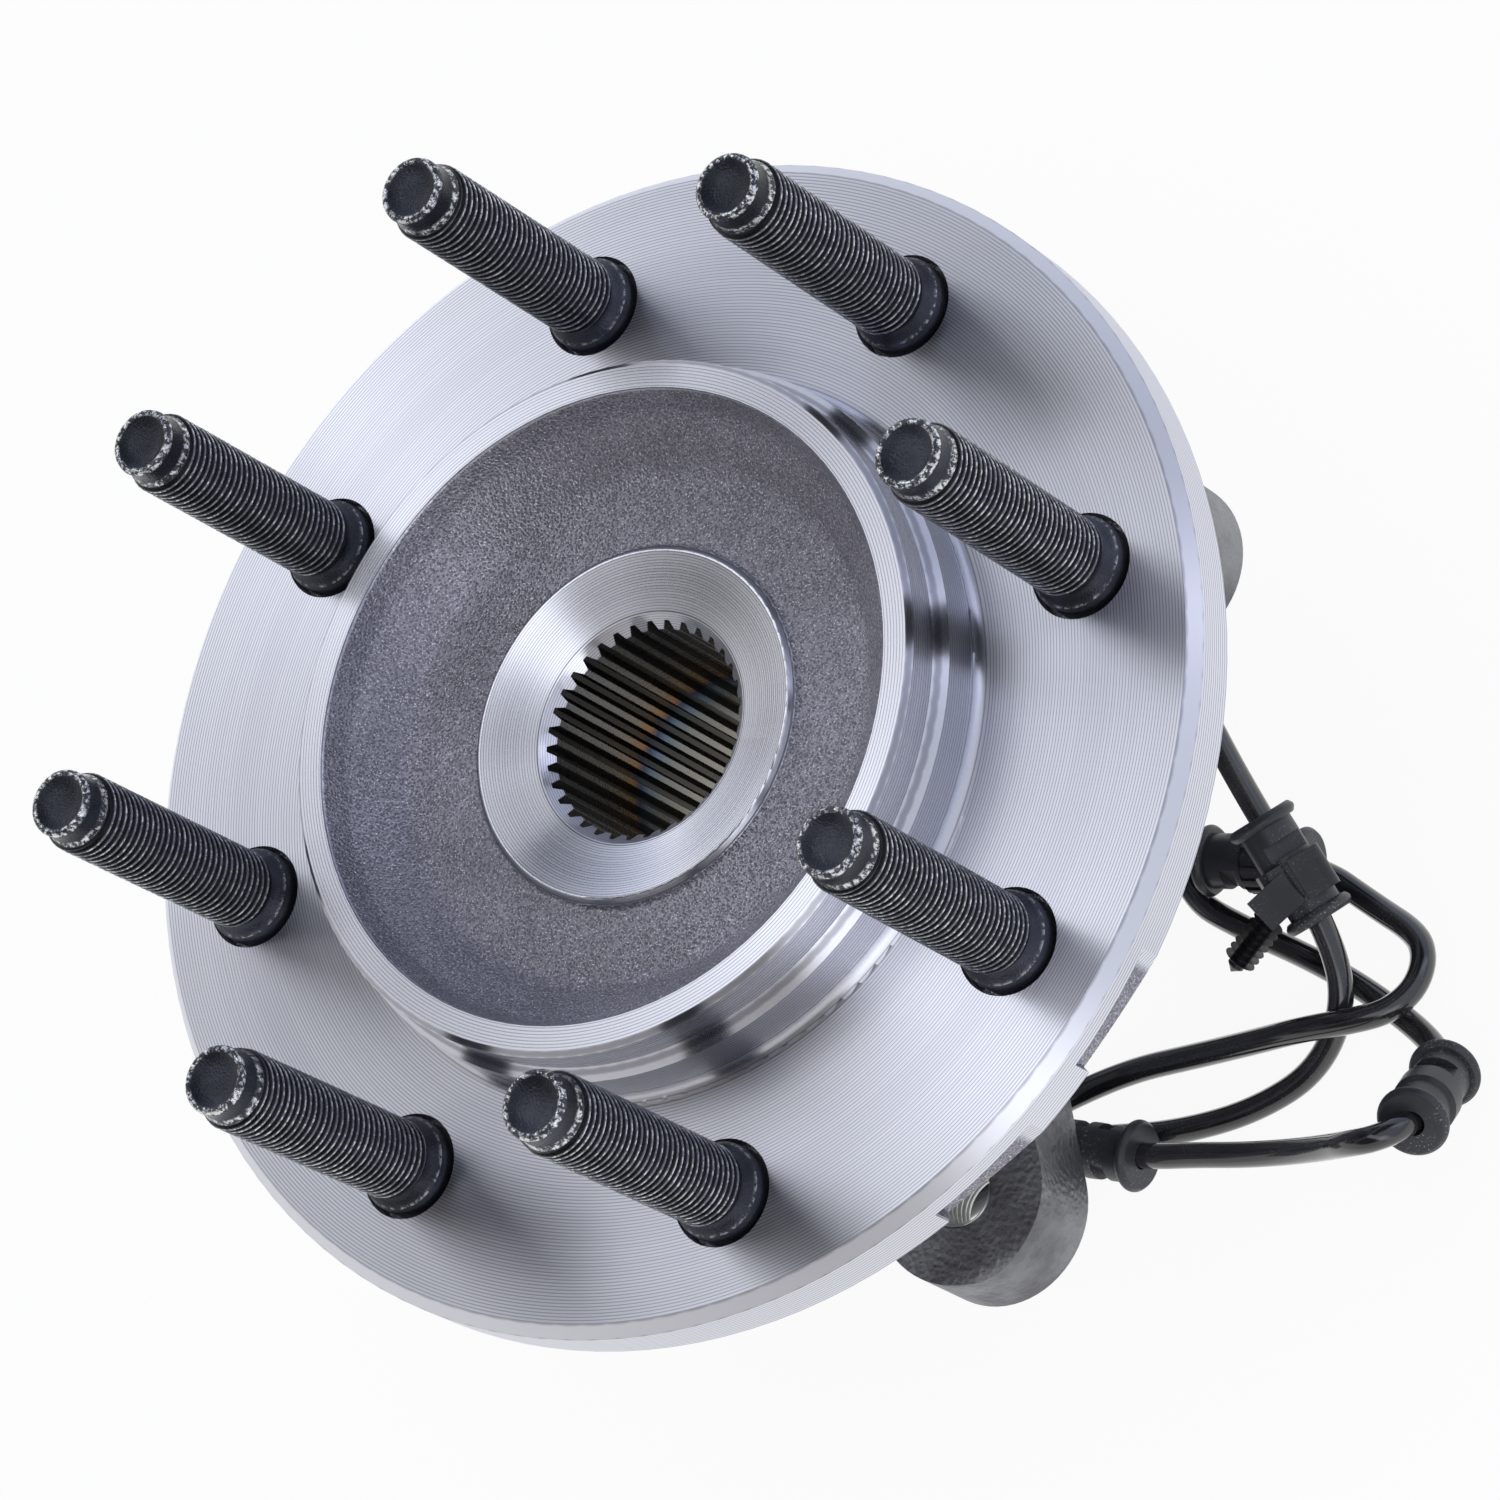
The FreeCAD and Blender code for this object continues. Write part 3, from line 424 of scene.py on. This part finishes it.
def castHousing():
    finish = {
        "iron": (0.33, 0.335, 0.35, 1), "ironDark": (0.17, 0.17, 0.185, 1), "ironRoughness": 0.52,
        "turned": (0.66, 0.67, 0.70, 1), "turnedDark": (0.45, 0.455, 0.48, 1), "turnedRoughness": 0.30,
        "grain": 900.0, "pitch": 0.0004, "ringDepth": 0.03, "depth": 0.00048,
    }
    # where the machined surfaces end, as radii or heights in metres
    edge = {
        "spigot": (0.0463, 0.0466), "spigotRoot": (0.0136, 0.0142), "bore": (0.0422, 0.0425),
        "seat": (0.0139, 0.0142), "rim": (0.0750, 0.0753),
    }
    material, kit, skin, place = newMaterial("castHousing")
    radius, height = kit.radiusAndHeight(place)
    spigot = kit.times(kit.below(radius, *edge["spigot"]), kit.below(height, *edge["spigotRoot"]))
    bore = kit.below(radius, *edge["bore"])
    machined = kit.largest(spigot, bore, kit.below(height, *edge["seat"]), kit.ramp(height, *edge["rim"]))
    marks = kit.group(turnedMarks, Place=place, Pitch=finish["pitch"])
    grain = kit.group(castGrain, Place=place, Grain=finish["grain"])
    iron = kit.mix(kit.ramp(grain["Tone"], 0.35, 0.65), finish["ironDark"], finish["iron"])
    turned = kit.mix(kit.ramp(marks["Tone"], 0.35, 0.6), finish["turnedDark"], finish["turned"])
    kit.join(kit.mix(machined, iron, turned), skin.inputs["Base Color"])
    kit.join(kit.blendValue(machined, 0.7, 1.0), skin.inputs["Metallic"])
    gloss = kit.blendValue(machined, finish["ironRoughness"], finish["turnedRoughness"])
    kit.join(gloss, skin.inputs["Roughness"])
    relief = kit.blendValue(machined, grain["Height"], kit.times(marks["Height"], finish["ringDepth"]))
    addBump(kit, skin, relief, finish["depth"])
    return material


def metalFinish(name, light, dark, roughness, pitch, depth, wear=0.0):
    material, kit, skin, place = newMaterial(name)
    marks = kit.group(turnedMarks, Place=place, Pitch=pitch)
    chips = kit.group(rubWear, Place=place, Size=420.0, Amount=wear)["Mask"]
    tone = kit.mix(kit.ramp(marks["Tone"], 0.35, 0.62), dark, light)
    kit.join(kit.mix(kit.times(chips, 0.5), tone, dark), skin.inputs["Base Color"])
    skin.inputs["Metallic"].default_value = 1.0
    gloss = kit.plus(roughness, kit.times(marks["Tone"], 0.15))
    kit.join(kit.plus(gloss, kit.times(chips, 0.12)), skin.inputs["Roughness"])
    addBump(kit, skin, marks["Height"], depth)
    return material


def mouldedFinish(name, colour, dusty, roughness, grain, depth, coat=0.0):
    dustColour = (0.42, 0.42, 0.43, 1)
    material, kit, skin, place = newMaterial(name)
    marks = kit.group(mouldSkin, Place=place, Grain=grain)
    lighter = tuple(min(1.0, value * 1.5 + 0.01) for value in colour[:3]) + (1,)
    tone = kit.mix(kit.ramp(marks["Tone"], 0.3, 0.7), colour, lighter)
    kit.join(kit.mix(kit.times(marks["Dust"], dusty), tone, dustColour), skin.inputs["Base Color"])
    gloss = kit.plus(roughness, kit.times(marks["Tone"], 0.12))
    kit.join(kit.plus(gloss, kit.times(marks["Dust"], 0.3)), skin.inputs["Roughness"])
    skin.inputs["Coat Weight"].default_value = coat
    skin.inputs["Coat Roughness"].default_value = 0.07
    addBump(kit, skin, marks["Height"], depth)
    return material


# the other metals: name, light and dark tone, roughness, pitch and depth of the turned marks, wear
metals = {
    "bearing": ("groundSteel", (0.72, 0.73, 0.75, 1), (0.60, 0.61, 0.63, 1), 0.16, 0.0003, 0.000004),
    "sealSteel": ("pressedSteel", (0.55, 0.56, 0.57, 1), (0.36, 0.36, 0.38, 1), 0.3, 0.0012, 0.000012, 0.35),
    "tone": ("sinteredSteel", (0.34, 0.34, 0.35, 1), (0.22, 0.22, 0.23, 1), 0.42, 0.0009, 0.00003, 0.5),
    "zinc": ("zincSteel", (0.68, 0.69, 0.68, 1), (0.52, 0.53, 0.53, 1), 0.26, 0.0006, 0.00001, 0.3),
    "brass": ("brassBush", (0.66, 0.50, 0.24, 1), (0.50, 0.36, 0.16, 1), 0.26, 0.0005, 0.00001, 0.3),
    "tin": ("tinnedBrass", (0.74, 0.73, 0.70, 1), (0.60, 0.59, 0.56, 1), 0.24, 0.0005, 0.000006, 0.2),
}
# plastics and rubbers: name, colour, dust, roughness, grain and its depth, coat
mouldings = {
    "cage": ("cagePolyamide", (0.20, 0.155, 0.09, 1), 0.1, 0.42, 2200.0, 0.00004),
    "sensor": ("sensorPolyamide", (0.020, 0.020, 0.022, 1), 0.4, 0.42, 2600.0, 0.00005),
    "connector": ("connectorPlastic", (0.028, 0.029, 0.031, 1), 0.5, 0.38, 2600.0, 0.00004),
    "plugSeal": ("plugSealSilicone", (0.55, 0.16, 0.04, 1), 0.2, 0.40, 2000.0, 0.00003),
    "sealRubber": ("sealNitrile", (0.018, 0.018, 0.019, 1), 0.6, 0.5, 2000.0, 0.00004),
    "rubber": ("grommetRubber", (0.023, 0.024, 0.030, 1), 0.6, 0.33, 2400.0, 0.00006),
    "jacket": ("leadJacket", (0.010, 0.010, 0.012, 1), 0.10, 0.10, 1500.0, 0.00001, 1.0),
    "clip": ("clipPlastic", (0.010, 0.010, 0.013, 1), 0.3, 0.24, 2600.0, 0.00005),
}
finishes = {"hub": machinedHub(), "stud": blackStud(), "housing": castHousing()}
finishes.update((key, metalFinish(*values)) for key, values in metals.items())
finishes.update((key, mouldedFinish(*values)) for key, values in mouldings.items())
finishOfNode = {
    "wheel_hub": "hub", "wheel_studs": "stud", "outer_ring": "housing",
    "outboard_inner_ring": "bearing", "inboard_inner_ring": "bearing",
    "outboard_rollers": "bearing", "inboard_rollers": "bearing",
    "outboard_cage": "cage", "inboard_cage": "cage", "tone_ring": "tone",
    "outboard_flinger": "sealSteel", "outboard_seal_case": "sealSteel",
    "inboard_seal_case": "sealSteel", "outboard_seal_lip": "sealRubber",
    "inboard_seal_lip": "sealRubber", "speed_sensor": "sensor",
    "sensor_o_ring": "sealRubber", "sensor_bush": "brass", "sensor_screw": "zinc",
    "sensor_lead": "jacket", "clip_grommet": "rubber", "ribbed_grommet": "rubber",
    "leaning_grommet": "rubber", "split_grommet": "rubber", "lead_clip": "clip",
    "connector_body": "connector", "connector_pins": "tin", "connector_seal": "plugSeal",
}
for name, finish in finishOfNode.items():
    for slot in nodes[name].material_slots:
        slot.material = finishes[finish]
print("materials placed")


# sensor lead, from the sensor to the plug
lead = {
    "exit": (0.006149, 0.062581, 0.042),
    "length": 1.2,
    "diameter": 0.0045,
    "roundness": 6, "stepsPerPoint": 10,
    "floorLine": 0.0024,        # height of the lead's middle where it lies on the floor
    # loose turns round the spigot: degrees between corners, then radius, first angle and number of corners
    "turnStep": 40.0,
    "outerTurn": (0.056, -84, 6),
    "innerTurn": (0.0503, -76, 6),
}


def turnPoints(radius, firstDegrees, count):
    step = lead["turnStep"]
    corner = radius / math.cos(math.radians(step / 2))
    return [onCircle(corner, firstDegrees - i * step, lead["floorLine"]) for i in range(count)]


def makeLead():
    toClip = [
        (0.020, 0.0636, 0.042), (0.0355, 0.0595, 0.0413), (0.0495, 0.0505, 0.0388),
        (0.0615, 0.036, 0.0338), (0.0703, 0.0227, 0.0276), (0.0806, 0.0089, 0.0191),
        (0.0891, -0.0026, 0.0122), (0.0924, -0.0126, 0.0074), (0.0878, -0.024, 0.003),
        (0.077, -0.0323, 0.0024), (0.063, -0.0378, 0.0024), (0.050, -0.0402, 0.0024),
        (0.0385, -0.0424, 0.0024), (0.027, -0.0504, 0.0024),
    ]
    toRibbed = [
        (0.033, 0.046, 0.0052), (0.041, 0.033, 0.0072), (0.0435, 0.0215, 0.0074),
        (0.0495, 0.012, 0.0074), (0.060, 0.0088, 0.0073), (0.080, 0.0106, 0.0064),
        (0.0915, 0.0052, 0.0038), (0.1015, 0.001, 0.0048), (0.1048, -0.0036, 0.0062),
        (0.1048, -0.0092, 0.0074), (0.1016, -0.0138, 0.0088), (0.096, -0.0164, 0.010),
        (0.087, -0.0189, 0.0102), (0.076, -0.0216, 0.007), (0.064, -0.0245, 0.004),
        (0.051, -0.0282, 0.0025), (0.038, -0.0355, 0.0024),
    ]
    toPlug = [
        (0.029, 0.044, 0.0024), (0.0415, 0.030, 0.0024), (0.048, 0.016, 0.0024),
        (0.0545, 0.0032, 0.0024), (0.066, -0.0009, 0.0024), (0.080, -0.0045, 0.0024),
        (0.0935, -0.0093, 0.0024), (0.1078, -0.0165, 0.0024), (0.1134, -0.0223, 0.0063),
        (0.1158, -0.0282, 0.0132), (0.117, -0.0328, 0.0187), (0.1167, -0.036, 0.0226),
        (0.1132, -0.0388, 0.0246), (0.1084, -0.0397, 0.0232), (0.1018, -0.0398, 0.0182),
        (0.0925, -0.0404, 0.0132), (0.082, -0.0416, 0.0106), (0.072, -0.0426, 0.0099),
        (0.0625, -0.044, 0.0094), (0.043, -0.044, 0.0087), (0.033, -0.0515, 0.0064),
        (0.0175, -0.0625, 0.003), (-0.006, -0.070, 0.0024), (-0.028, -0.076, 0.0026),
        (-0.048, -0.0785, 0.004), (-0.064, -0.0765, 0.0062), (-0.077, -0.072, 0.0062),
    ]
    route = [lead["exit"]] + toClip + turnPoints(*lead["outerTurn"])
    route += toRibbed + turnPoints(*lead["innerTurn"]) + toPlug
    curve = bpy.data.curves.new("sensorLead", "CURVE")
    curve.dimensions = "3D"
    curve.bevel_depth = lead["diameter"] / 2
    curve.bevel_resolution = lead["roundness"]
    curve.resolution_u = lead["stepsPerPoint"]
    curve.use_fill_caps = True
    spline = curve.splines.new("NURBS")
    spline.points.add(len(route) - 1)
    for point, place in zip(spline.points, route):
        point.co = (*place, 1)
    spline.order_u = 3
    spline.use_endpoint_u = True
    curve.materials.append(finishes["jacket"])
    return curve


sensorLead = addPiece("sensorLead", makeLead(), "housing", "sensor_lead")
print("sensor lead laid")


# wheel studs with rolled threads
studs = {
    "count": 8, "circle": 0.08255, "firstDegrees": 25.5,
    "pitch": 0.0015, "crestRadius": 0.007, "rootRadius": 0.00618,
    "threadStart": 0.0932, "threadEnd": 0.1408,
    "around": 36, "rowsPerTurn": 7, "runout": 0.0022,
    "spinStep": 2.39,           # radians that each stud is turned by, so that no two look alike
    # radius and height of the plain parts, in metres, and how worn each corner is
    "foot": [
        (0.0, 0.0725, 0), (0.0102, 0.0725, 0.2), (0.0110, 0.0733, 0.5), (0.0110, 0.0775, 0.2),
        (0.0080, 0.0775, 0), (0.0080, 0.0860, 0), (0.00825, 0.0860, 0), (0.00825, 0.0913, 0.25),
        (0.00800, 0.0920, 0.9), (0.00725, 0.0926, 0.75), (0.00690, 0.0929, 0.1), (0.00630, 0.0934, 0),
        (0.00618, 0.0942, 0),
    ],
    "point": [
        (0.00618, 0.1398, 0), (0.00640, 0.1404, 1.0), (0.00600, 0.1412, 0.95), (0.00575, 0.1418, 0.75),
        (0.00580, 0.1438, 0.2), (0.00588, 0.1446, 0.95), (0.00570, 0.1452, 1.0), (0.00520, 0.1455, 1.0),
        (0.00470, 0.1453, 0.9), (0.00400, 0.1448, 0.2), (0.00250, 0.14455, 0.0), (0.0, 0.1444, 0),
    ],
}


def turnedShell(bm, profile, wearLayer, around):
    rows = []
    for radius, height, wear in profile:
        count = 1 if radius == 0 else around
        row = []
        for i in range(count):
            turn = 2 * math.pi * i / around
            vertex = bm.verts.new((radius * math.cos(turn), radius * math.sin(turn), height))
            vertex[wearLayer] = wear
            row.append(vertex)
        rows.append(row)
    for low, high in zip(rows, rows[1:]):
        for i in range(around):
            j = (i + 1) % around
            corners = [low[i % len(low)], low[j % len(low)], high[j % len(high)], high[i % len(high)]]
            corners = list(dict.fromkeys(corners))
            if len(corners) > 2:
                bm.faces.new(corners).smooth = True


def plainStud():
    mesh = bpy.data.meshes.new("plainStud")
    bm = bmesh.new()
    wearLayer = bm.verts.layers.float.new("crest")
    for profile in (studs["foot"], studs["point"]):
        turnedShell(bm, profile, wearLayer, studs["around"])
    bm.to_mesh(mesh)
    bm.free()
    return mesh


def geometryTree(name, inputs):
    tree = bpy.data.node_groups.new(name, "GeometryNodeTree")
    tree.is_modifier = True
    sockets = {}
    tree.interface.new_socket("Geometry", in_out="OUTPUT", socket_type="NodeSocketGeometry")
    for label, kind, value in inputs:
        socket = tree.interface.new_socket(label, in_out="INPUT", socket_type=kind)
        if value is not None:
            socket.default_value = value
        sockets[label] = socket.identifier
    kit = Shader(tree)
    return tree, kit, kit.add("NodeGroupInput").outputs, kit.add("NodeGroupOutput").inputs, sockets


# the named inputs that both threads share
threadInputs = [
    ("Length", "NodeSocketFloat", 0.04),
    ("Pitch", "NodeSocketFloat", 0.0015),
    ("Start", "NodeSocketFloat", 0.0),
    ("Crest Radius", "NodeSocketFloat", 0.007),
    ("Root Radius", "NodeSocketFloat", 0.0062),
    ("Around", "NodeSocketInt", 36),
    ("Rows Per Turn", "NodeSocketInt", 7),
    ("Runout", "NodeSocketFloat", 0.002),
    ("Material", "NodeSocketMaterial", None),
]


def threadSurface(kit, given):
    # a flat grid wound into a screw thread, for the studs and the tapped holes
    flats = (0.14, 0.86)        # shares of a tooth where the flat root ends and the flat crest starts
    weld = 0.00001              # closes the seam
    length, pitch = given["Length"], given["Pitch"]
    rows = kit.math("ROUND", kit.times(kit.math("DIVIDE", length, pitch), given["Rows Per Turn"]))
    grid = kit.add("GeometryNodeMeshGrid")
    grid.inputs["Size X"].default_value = 1.0
    grid.inputs["Size Y"].default_value = 1.0
    kit.join(kit.plus(given["Around"], 1), grid.inputs["Vertices X"])
    kit.join(kit.plus(rows, 1), grid.inputs["Vertices Y"])
    gridX, gridY = kit.split(kit.add("GeometryNodeInputPosition").outputs[0])[:2]
    across = kit.plus(gridX, 0.5)
    along = kit.times(kit.plus(gridY, 0.5), length)
    turns = kit.minus(kit.math("DIVIDE", along, pitch), across)
    phase = kit.math("FRACT", kit.plus(turns, 8.0))     # whole turns added, to keep it above zero
    tooth = kit.math("ABSOLUTE", kit.minus(kit.times(phase, 2), 1))
    shape = kit.ramp(tooth, *flats, kind="LINEAR")
    runIn = kit.ramp(along, 0.0, given["Runout"])
    tail = kit.ramp(kit.minus(length, along), 0.0, kit.times(given["Runout"], 0.5))
    crest = kit.times(shape, kit.times(runIn, tail))
    reach = kit.minus(given["Crest Radius"], given["Root Radius"])
    radius = kit.math("MULTIPLY_ADD", reach, crest, given["Root Radius"])
    turn = kit.times(across, 2 * math.pi)
    place = kit.combine(
        kit.times(radius, kit.math("COSINE", turn)),
        kit.times(radius, kit.math("SINE", turn)),
        kit.plus(along, given["Start"]),
    )
    kept = kit.add("GeometryNodeStoreNamedAttribute", data_type="FLOAT", domain="POINT")
    kept.inputs["Name"].default_value = "crest"
    kit.join(grid.outputs["Mesh"], kept.inputs["Geometry"])
    kit.join(crest, kept.inputs["Value"])
    wound = kit.add("GeometryNodeSetPosition")
    kit.join(kept.outputs[0], wound.inputs["Geometry"])
    kit.join(place, wound.inputs["Position"])
    closed = kit.add("GeometryNodeMergeByDistance")
    kit.join(wound.outputs[0], closed.inputs["Geometry"])
    closed.inputs["Distance"].default_value = weld
    smooth = kit.add("GeometryNodeSetShadeSmooth")
    kit.join(closed.outputs[0], smooth.inputs["Geometry"])
    return smooth.outputs[0]


def copyToPoints(kit, points, instance, rotation=None):
    # one copy at each point, as real geometry
    placed = kit.add("GeometryNodeInstanceOnPoints")
    kit.join(points, placed.inputs["Points"])
    kit.join(instance, placed.inputs["Instance"])
    if rotation is not None:
        kit.join(rotation, placed.inputs["Rotation"])
    real = kit.add("GeometryNodeRealizeInstances")
    kit.join(placed.outputs[0], real.inputs[0])
    return real.outputs[0]


def paint(kit, geometry, material):
    painted = kit.add("GeometryNodeSetMaterial")
    kit.join(geometry, painted.inputs["Geometry"])
    kit.join(material, painted.inputs["Material"])
    return painted.outputs[0]


def studTree():
    tree, kit, given, out, sockets = geometryTree(
        "studsOnCircle",
        [("Geometry", "NodeSocketGeometry", None)] + threadInputs + [
            ("Count", "NodeSocketInt", 8),
            ("Circle Radius", "NodeSocketFloat", 0.08),
            ("First Angle", "NodeSocketFloat", 0.0),
            ("Spin Step", "NodeSocketFloat", 1.0),
        ],
    )
    both = kit.add("GeometryNodeJoinGeometry")
    kit.join(given["Geometry"], both.inputs[0])
    kit.join(threadSurface(kit, given), both.inputs[0])
    ring = kit.add("GeometryNodeMeshCircle", fill_type="NONE")
    kit.join(given["Count"], ring.inputs["Vertices"])
    kit.join(given["Circle Radius"], ring.inputs["Radius"])
    turned = kit.add("GeometryNodeTransform")
    kit.join(ring.outputs[0], turned.inputs["Geometry"])
    kit.join(kit.combine(0.0, 0.0, given["First Angle"]), turned.inputs["Rotation"])
    index = kit.add("GeometryNodeInputIndex").outputs[0]
    spin = kit.combine(0.0, 0.0, kit.times(index, given["Spin Step"]))
    real = copyToPoints(kit, turned.outputs[0], both.outputs[0], spin)
    kit.join(paint(kit, real, given["Material"]), out["Geometry"])
    return tree, sockets


def evaluated(name, mesh, tree, sockets, values):
    holder = bpy.data.objects.new(name + "Maker", mesh)
    scene.collection.objects.link(holder)
    modifier = holder.modifiers.new(name, "NODES")
    modifier.node_group = tree
    for label, value in values.items():
        modifier[sockets[label]] = value
    bpy.context.view_layer.update()
    result = bpy.data.meshes.new_from_object(holder.evaluated_get(bpy.context.evaluated_depsgraph_get()))
    result.name = name
    holder.modifiers.remove(modifier)
    bpy.data.objects.remove(holder)
    return result


def makeStuds():
    tree, sockets = studTree()
    return evaluated("wheelStuds", plainStud(), tree, sockets, {
        "Length": studs["threadEnd"] - studs["threadStart"],
        "Pitch": studs["pitch"],
        "Start": studs["threadStart"],
        "Crest Radius": studs["crestRadius"],
        "Root Radius": studs["rootRadius"],
        "Around": studs["around"],
        "Rows Per Turn": studs["rowsPerTurn"],
        "Runout": studs["runout"],
        "Material": finishes["stud"],
        "Count": studs["count"],
        "Circle Radius": studs["circle"],
        "First Angle": math.radians(studs["firstDegrees"]),
        "Spin Step": studs["spinStep"],
    })


wheelStuds = addPiece("wheelStuds", makeStuds(), "hub", "wheel_studs")
print("wheel studs:", len(wheelStuds.data.polygons), "faces")


# threads in the four ears
tappedHoles = {
    "spacing": (0.0814, 0.1163), "low": 0.0154, "high": 0.0306,
    "crestRadius": 0.00580, "rootRadius": 0.00632, "pitch": 0.0015,
    "around": 40, "rowsPerTurn": 8, "runout": 0.0012,
}


def makeTappedHoles():
    tree, kit, given, out, sockets = geometryTree(
        "tappedHole", [("Geometry", "NodeSocketGeometry", None)] + threadInputs
    )
    inwards = kit.add("GeometryNodeFlipFaces")
    kit.join(threadSurface(kit, given), inwards.inputs[0])
    real = copyToPoints(kit, given["Geometry"], inwards.outputs[0])
    kit.join(paint(kit, real, given["Material"]), out["Geometry"])
    corners = bpy.data.meshes.new("earCentres")
    half = [value / 2 for value in tappedHoles["spacing"]]
    corners.from_pydata([(x * half[0], y * half[1], 0) for x in (-1, 1) for y in (-1, 1)], [], [])
    return evaluated("tappedHoles", corners, tree, sockets, {
        "Length": tappedHoles["high"] - tappedHoles["low"],
        "Pitch": tappedHoles["pitch"],
        "Start": tappedHoles["low"],
        "Crest Radius": tappedHoles["crestRadius"],
        "Root Radius": tappedHoles["rootRadius"],
        "Around": tappedHoles["around"],
        "Rows Per Turn": tappedHoles["rowsPerTurn"],
        "Runout": tappedHoles["runout"],
        "Material": finishes["zinc"],
    })


tapped = addPiece("tappedHoles", makeTappedHoles(), "housing")
print("tapped holes cut")


# white studio: floor, world and lamps
studio = {
    "floorSize": 6.0,
    "floorColour": (0.88, 0.88, 0.89, 1),
    "floorShade": 0.93,             # how much of the floor is plain white to the camera
    "fill": 0.80,                   # world seen by diffuse light
    "fillColour": (0.95, 0.97, 1.0, 1),
    "bandDegrees": 147.5,           # the long way of the bright band overhead
    "bandOffset": 0.11,
    "bandEdges": (0.09, 0.17),
    "band": (1.17, 1.195, 1.27, 1),
    "warmEdges": (-0.1, 0.3),       # where the cool side of the studio gives way to the warm one
    "warmSide": (0.05, 0.042, 0.036, 1),
    "coolSide": (0.020, 0.028, 0.045, 1),
    "surroundEdges": (0.46, 0.62),  # how high the white cards round the table reach
    "surroundWarm": (0.76, 0.74, 0.74, 1),
    "surroundCool": (0.58, 0.63, 0.80, 1),
    # soft cards that shine in the metal: where they stand, cosines of their outer and inner edge, and shade
    "cards": [
        {"towards": (0.640, 0.500, 0.583), "edges": (0.90, 0.97), "shade": (0.92, 0.95, 1.20, 1)},
        {"towards": (0.618, -0.060, 0.784), "edges": (0.80, 0.91), "shade": (0.66, 0.68, 0.76, 1)},
    ],
}
white = (1, 1, 1, 1)


def stack(kit, fac, below, above):
    mixed = kit.add("ShaderNodeMixShader")
    for slot, socket in enumerate((fac, below.outputs[0], above.outputs[0])):
        kit.join(socket, mixed.inputs[slot])
    return mixed


def makeFloor():
    mesh = bpy.data.meshes.new("studioFloor")
    half = studio["floorSize"] / 2
    corners = [(-half, -half, 0), (half, -half, 0), (half, half, 0), (-half, half, 0)]
    mesh.from_pydata(corners, [], [(0, 1, 2, 3)])
    material = bpy.data.materials.new("studioFloor")
    material.use_nodes = True
    tree = material.node_tree
    tree.nodes.clear()
    kit = Shader(tree)
    paper = kit.add("ShaderNodeBsdfDiffuse")
    paper.inputs["Color"].default_value = studio["floorColour"]
    glow = kit.add("ShaderNodeEmission")
    glow.inputs["Color"].default_value = white
    glow.inputs["Strength"].default_value = 1.0
    rays = kit.add("ShaderNodeLightPath").outputs
    seen = kit.largest(rays["Is Camera Ray"], rays["Is Glossy Ray"], rays["Is Transmission Ray"])
    mixed = stack(kit, kit.times(seen, studio["floorShade"]), paper, glow)
    out = kit.add("ShaderNodeOutputMaterial")
    kit.join(mixed.outputs[0], out.inputs["Surface"])
    mesh.materials.append(material)
    return mesh


studioFloor = bpy.data.objects.new("studioFloor", makeFloor())
scene.collection.objects.link(studioFloor)


def makeWorld():
    world = bpy.data.worlds.new("studioWorld")
    scene.world = world
    world.use_nodes = True
    tree = world.node_tree
    tree.nodes.clear()
    kit = Shader(tree)
    rays = kit.add("ShaderNodeLightPath").outputs
    direction = kit.add("ShaderNodeTexCoord").outputs["Generated"]

    def alongside(way):
        product = kit.add("ShaderNodeVectorMath", operation="DOT_PRODUCT")
        kit.join(direction, product.inputs[0])
        product.inputs[1].default_value = way
        return product.outputs["Value"]

    turn = math.radians(studio["bandDegrees"])
    side = alongside((-math.sin(turn), math.cos(turn), 0))
    away = kit.math("ABSOLUTE", kit.minus(side, studio["bandOffset"]))
    warm = kit.ramp(side, *studio["warmEdges"])
    sides = kit.mix(warm, studio["coolSide"], studio["warmSide"])
    surround = kit.mix(warm, studio["surroundCool"], studio["surroundWarm"])
    height = kit.split(direction)[2]
    sides = kit.mix(kit.below(height, *studio["surroundEdges"]), sides, surround)
    for card in studio["cards"]:
        sides = kit.mix(kit.ramp(alongside(card["towards"]), *card["edges"]), sides, card["shade"])
    band = kit.mix(kit.ramp(away, *studio["bandEdges"]), studio["band"], sides)
    plain = kit.add("ShaderNodeBackground")
    plain.inputs["Color"].default_value = studio["fillColour"]
    plain.inputs["Strength"].default_value = studio["fill"]
    mirrored = kit.add("ShaderNodeBackground")
    kit.join(band, mirrored.inputs["Color"])
    backdrop = kit.add("ShaderNodeBackground")
    backdrop.inputs["Color"].default_value = white
    lit = stack(kit, rays["Is Glossy Ray"], plain, mirrored)
    straight = kit.largest(rays["Is Camera Ray"], rays["Is Transmission Ray"])
    out = kit.add("ShaderNodeOutputWorld")
    kit.join(stack(kit, straight, lit, backdrop).outputs[0], out.inputs["Surface"])


makeWorld()

lamps = {
    "overheadSoftbox": {
        "place": (-0.55, 0.30, 1.35), "size": (1.1, 0.5), "power": 1.3, "colour": (0.97, 0.98, 1.0),
    },
    "frontSoftbox": {
        "place": (0.95, -0.75, 0.95), "size": (0.7, 0.7), "power": 0.9, "colour": (1.0, 0.99, 0.97),
    },
    "sideSoftbox": {
        "place": (0.9, 0.75, 0.55), "size": (0.25, 0.9), "power": 0.25, "colour": (0.93, 1.0, 0.94),
    },
}


def makeLamps():
    aim = Vector((0, 0, 0.05))
    for name, lamp in lamps.items():
        data = bpy.data.lights.new(name, "AREA")
        data.shape = "RECTANGLE"
        data.size, data.size_y = lamp["size"]
        data.energy = lamp["power"]
        data.color = lamp["colour"]
        light = bpy.data.objects.new(name, data)
        scene.collection.objects.link(light)
        place = Vector(lamp["place"])
        facing = (aim - place).to_track_quat("-Z", "Y").to_matrix().to_4x4()
        light.matrix_world = Matrix.Translation(place) @ facing


makeLamps()
print("studio lit")
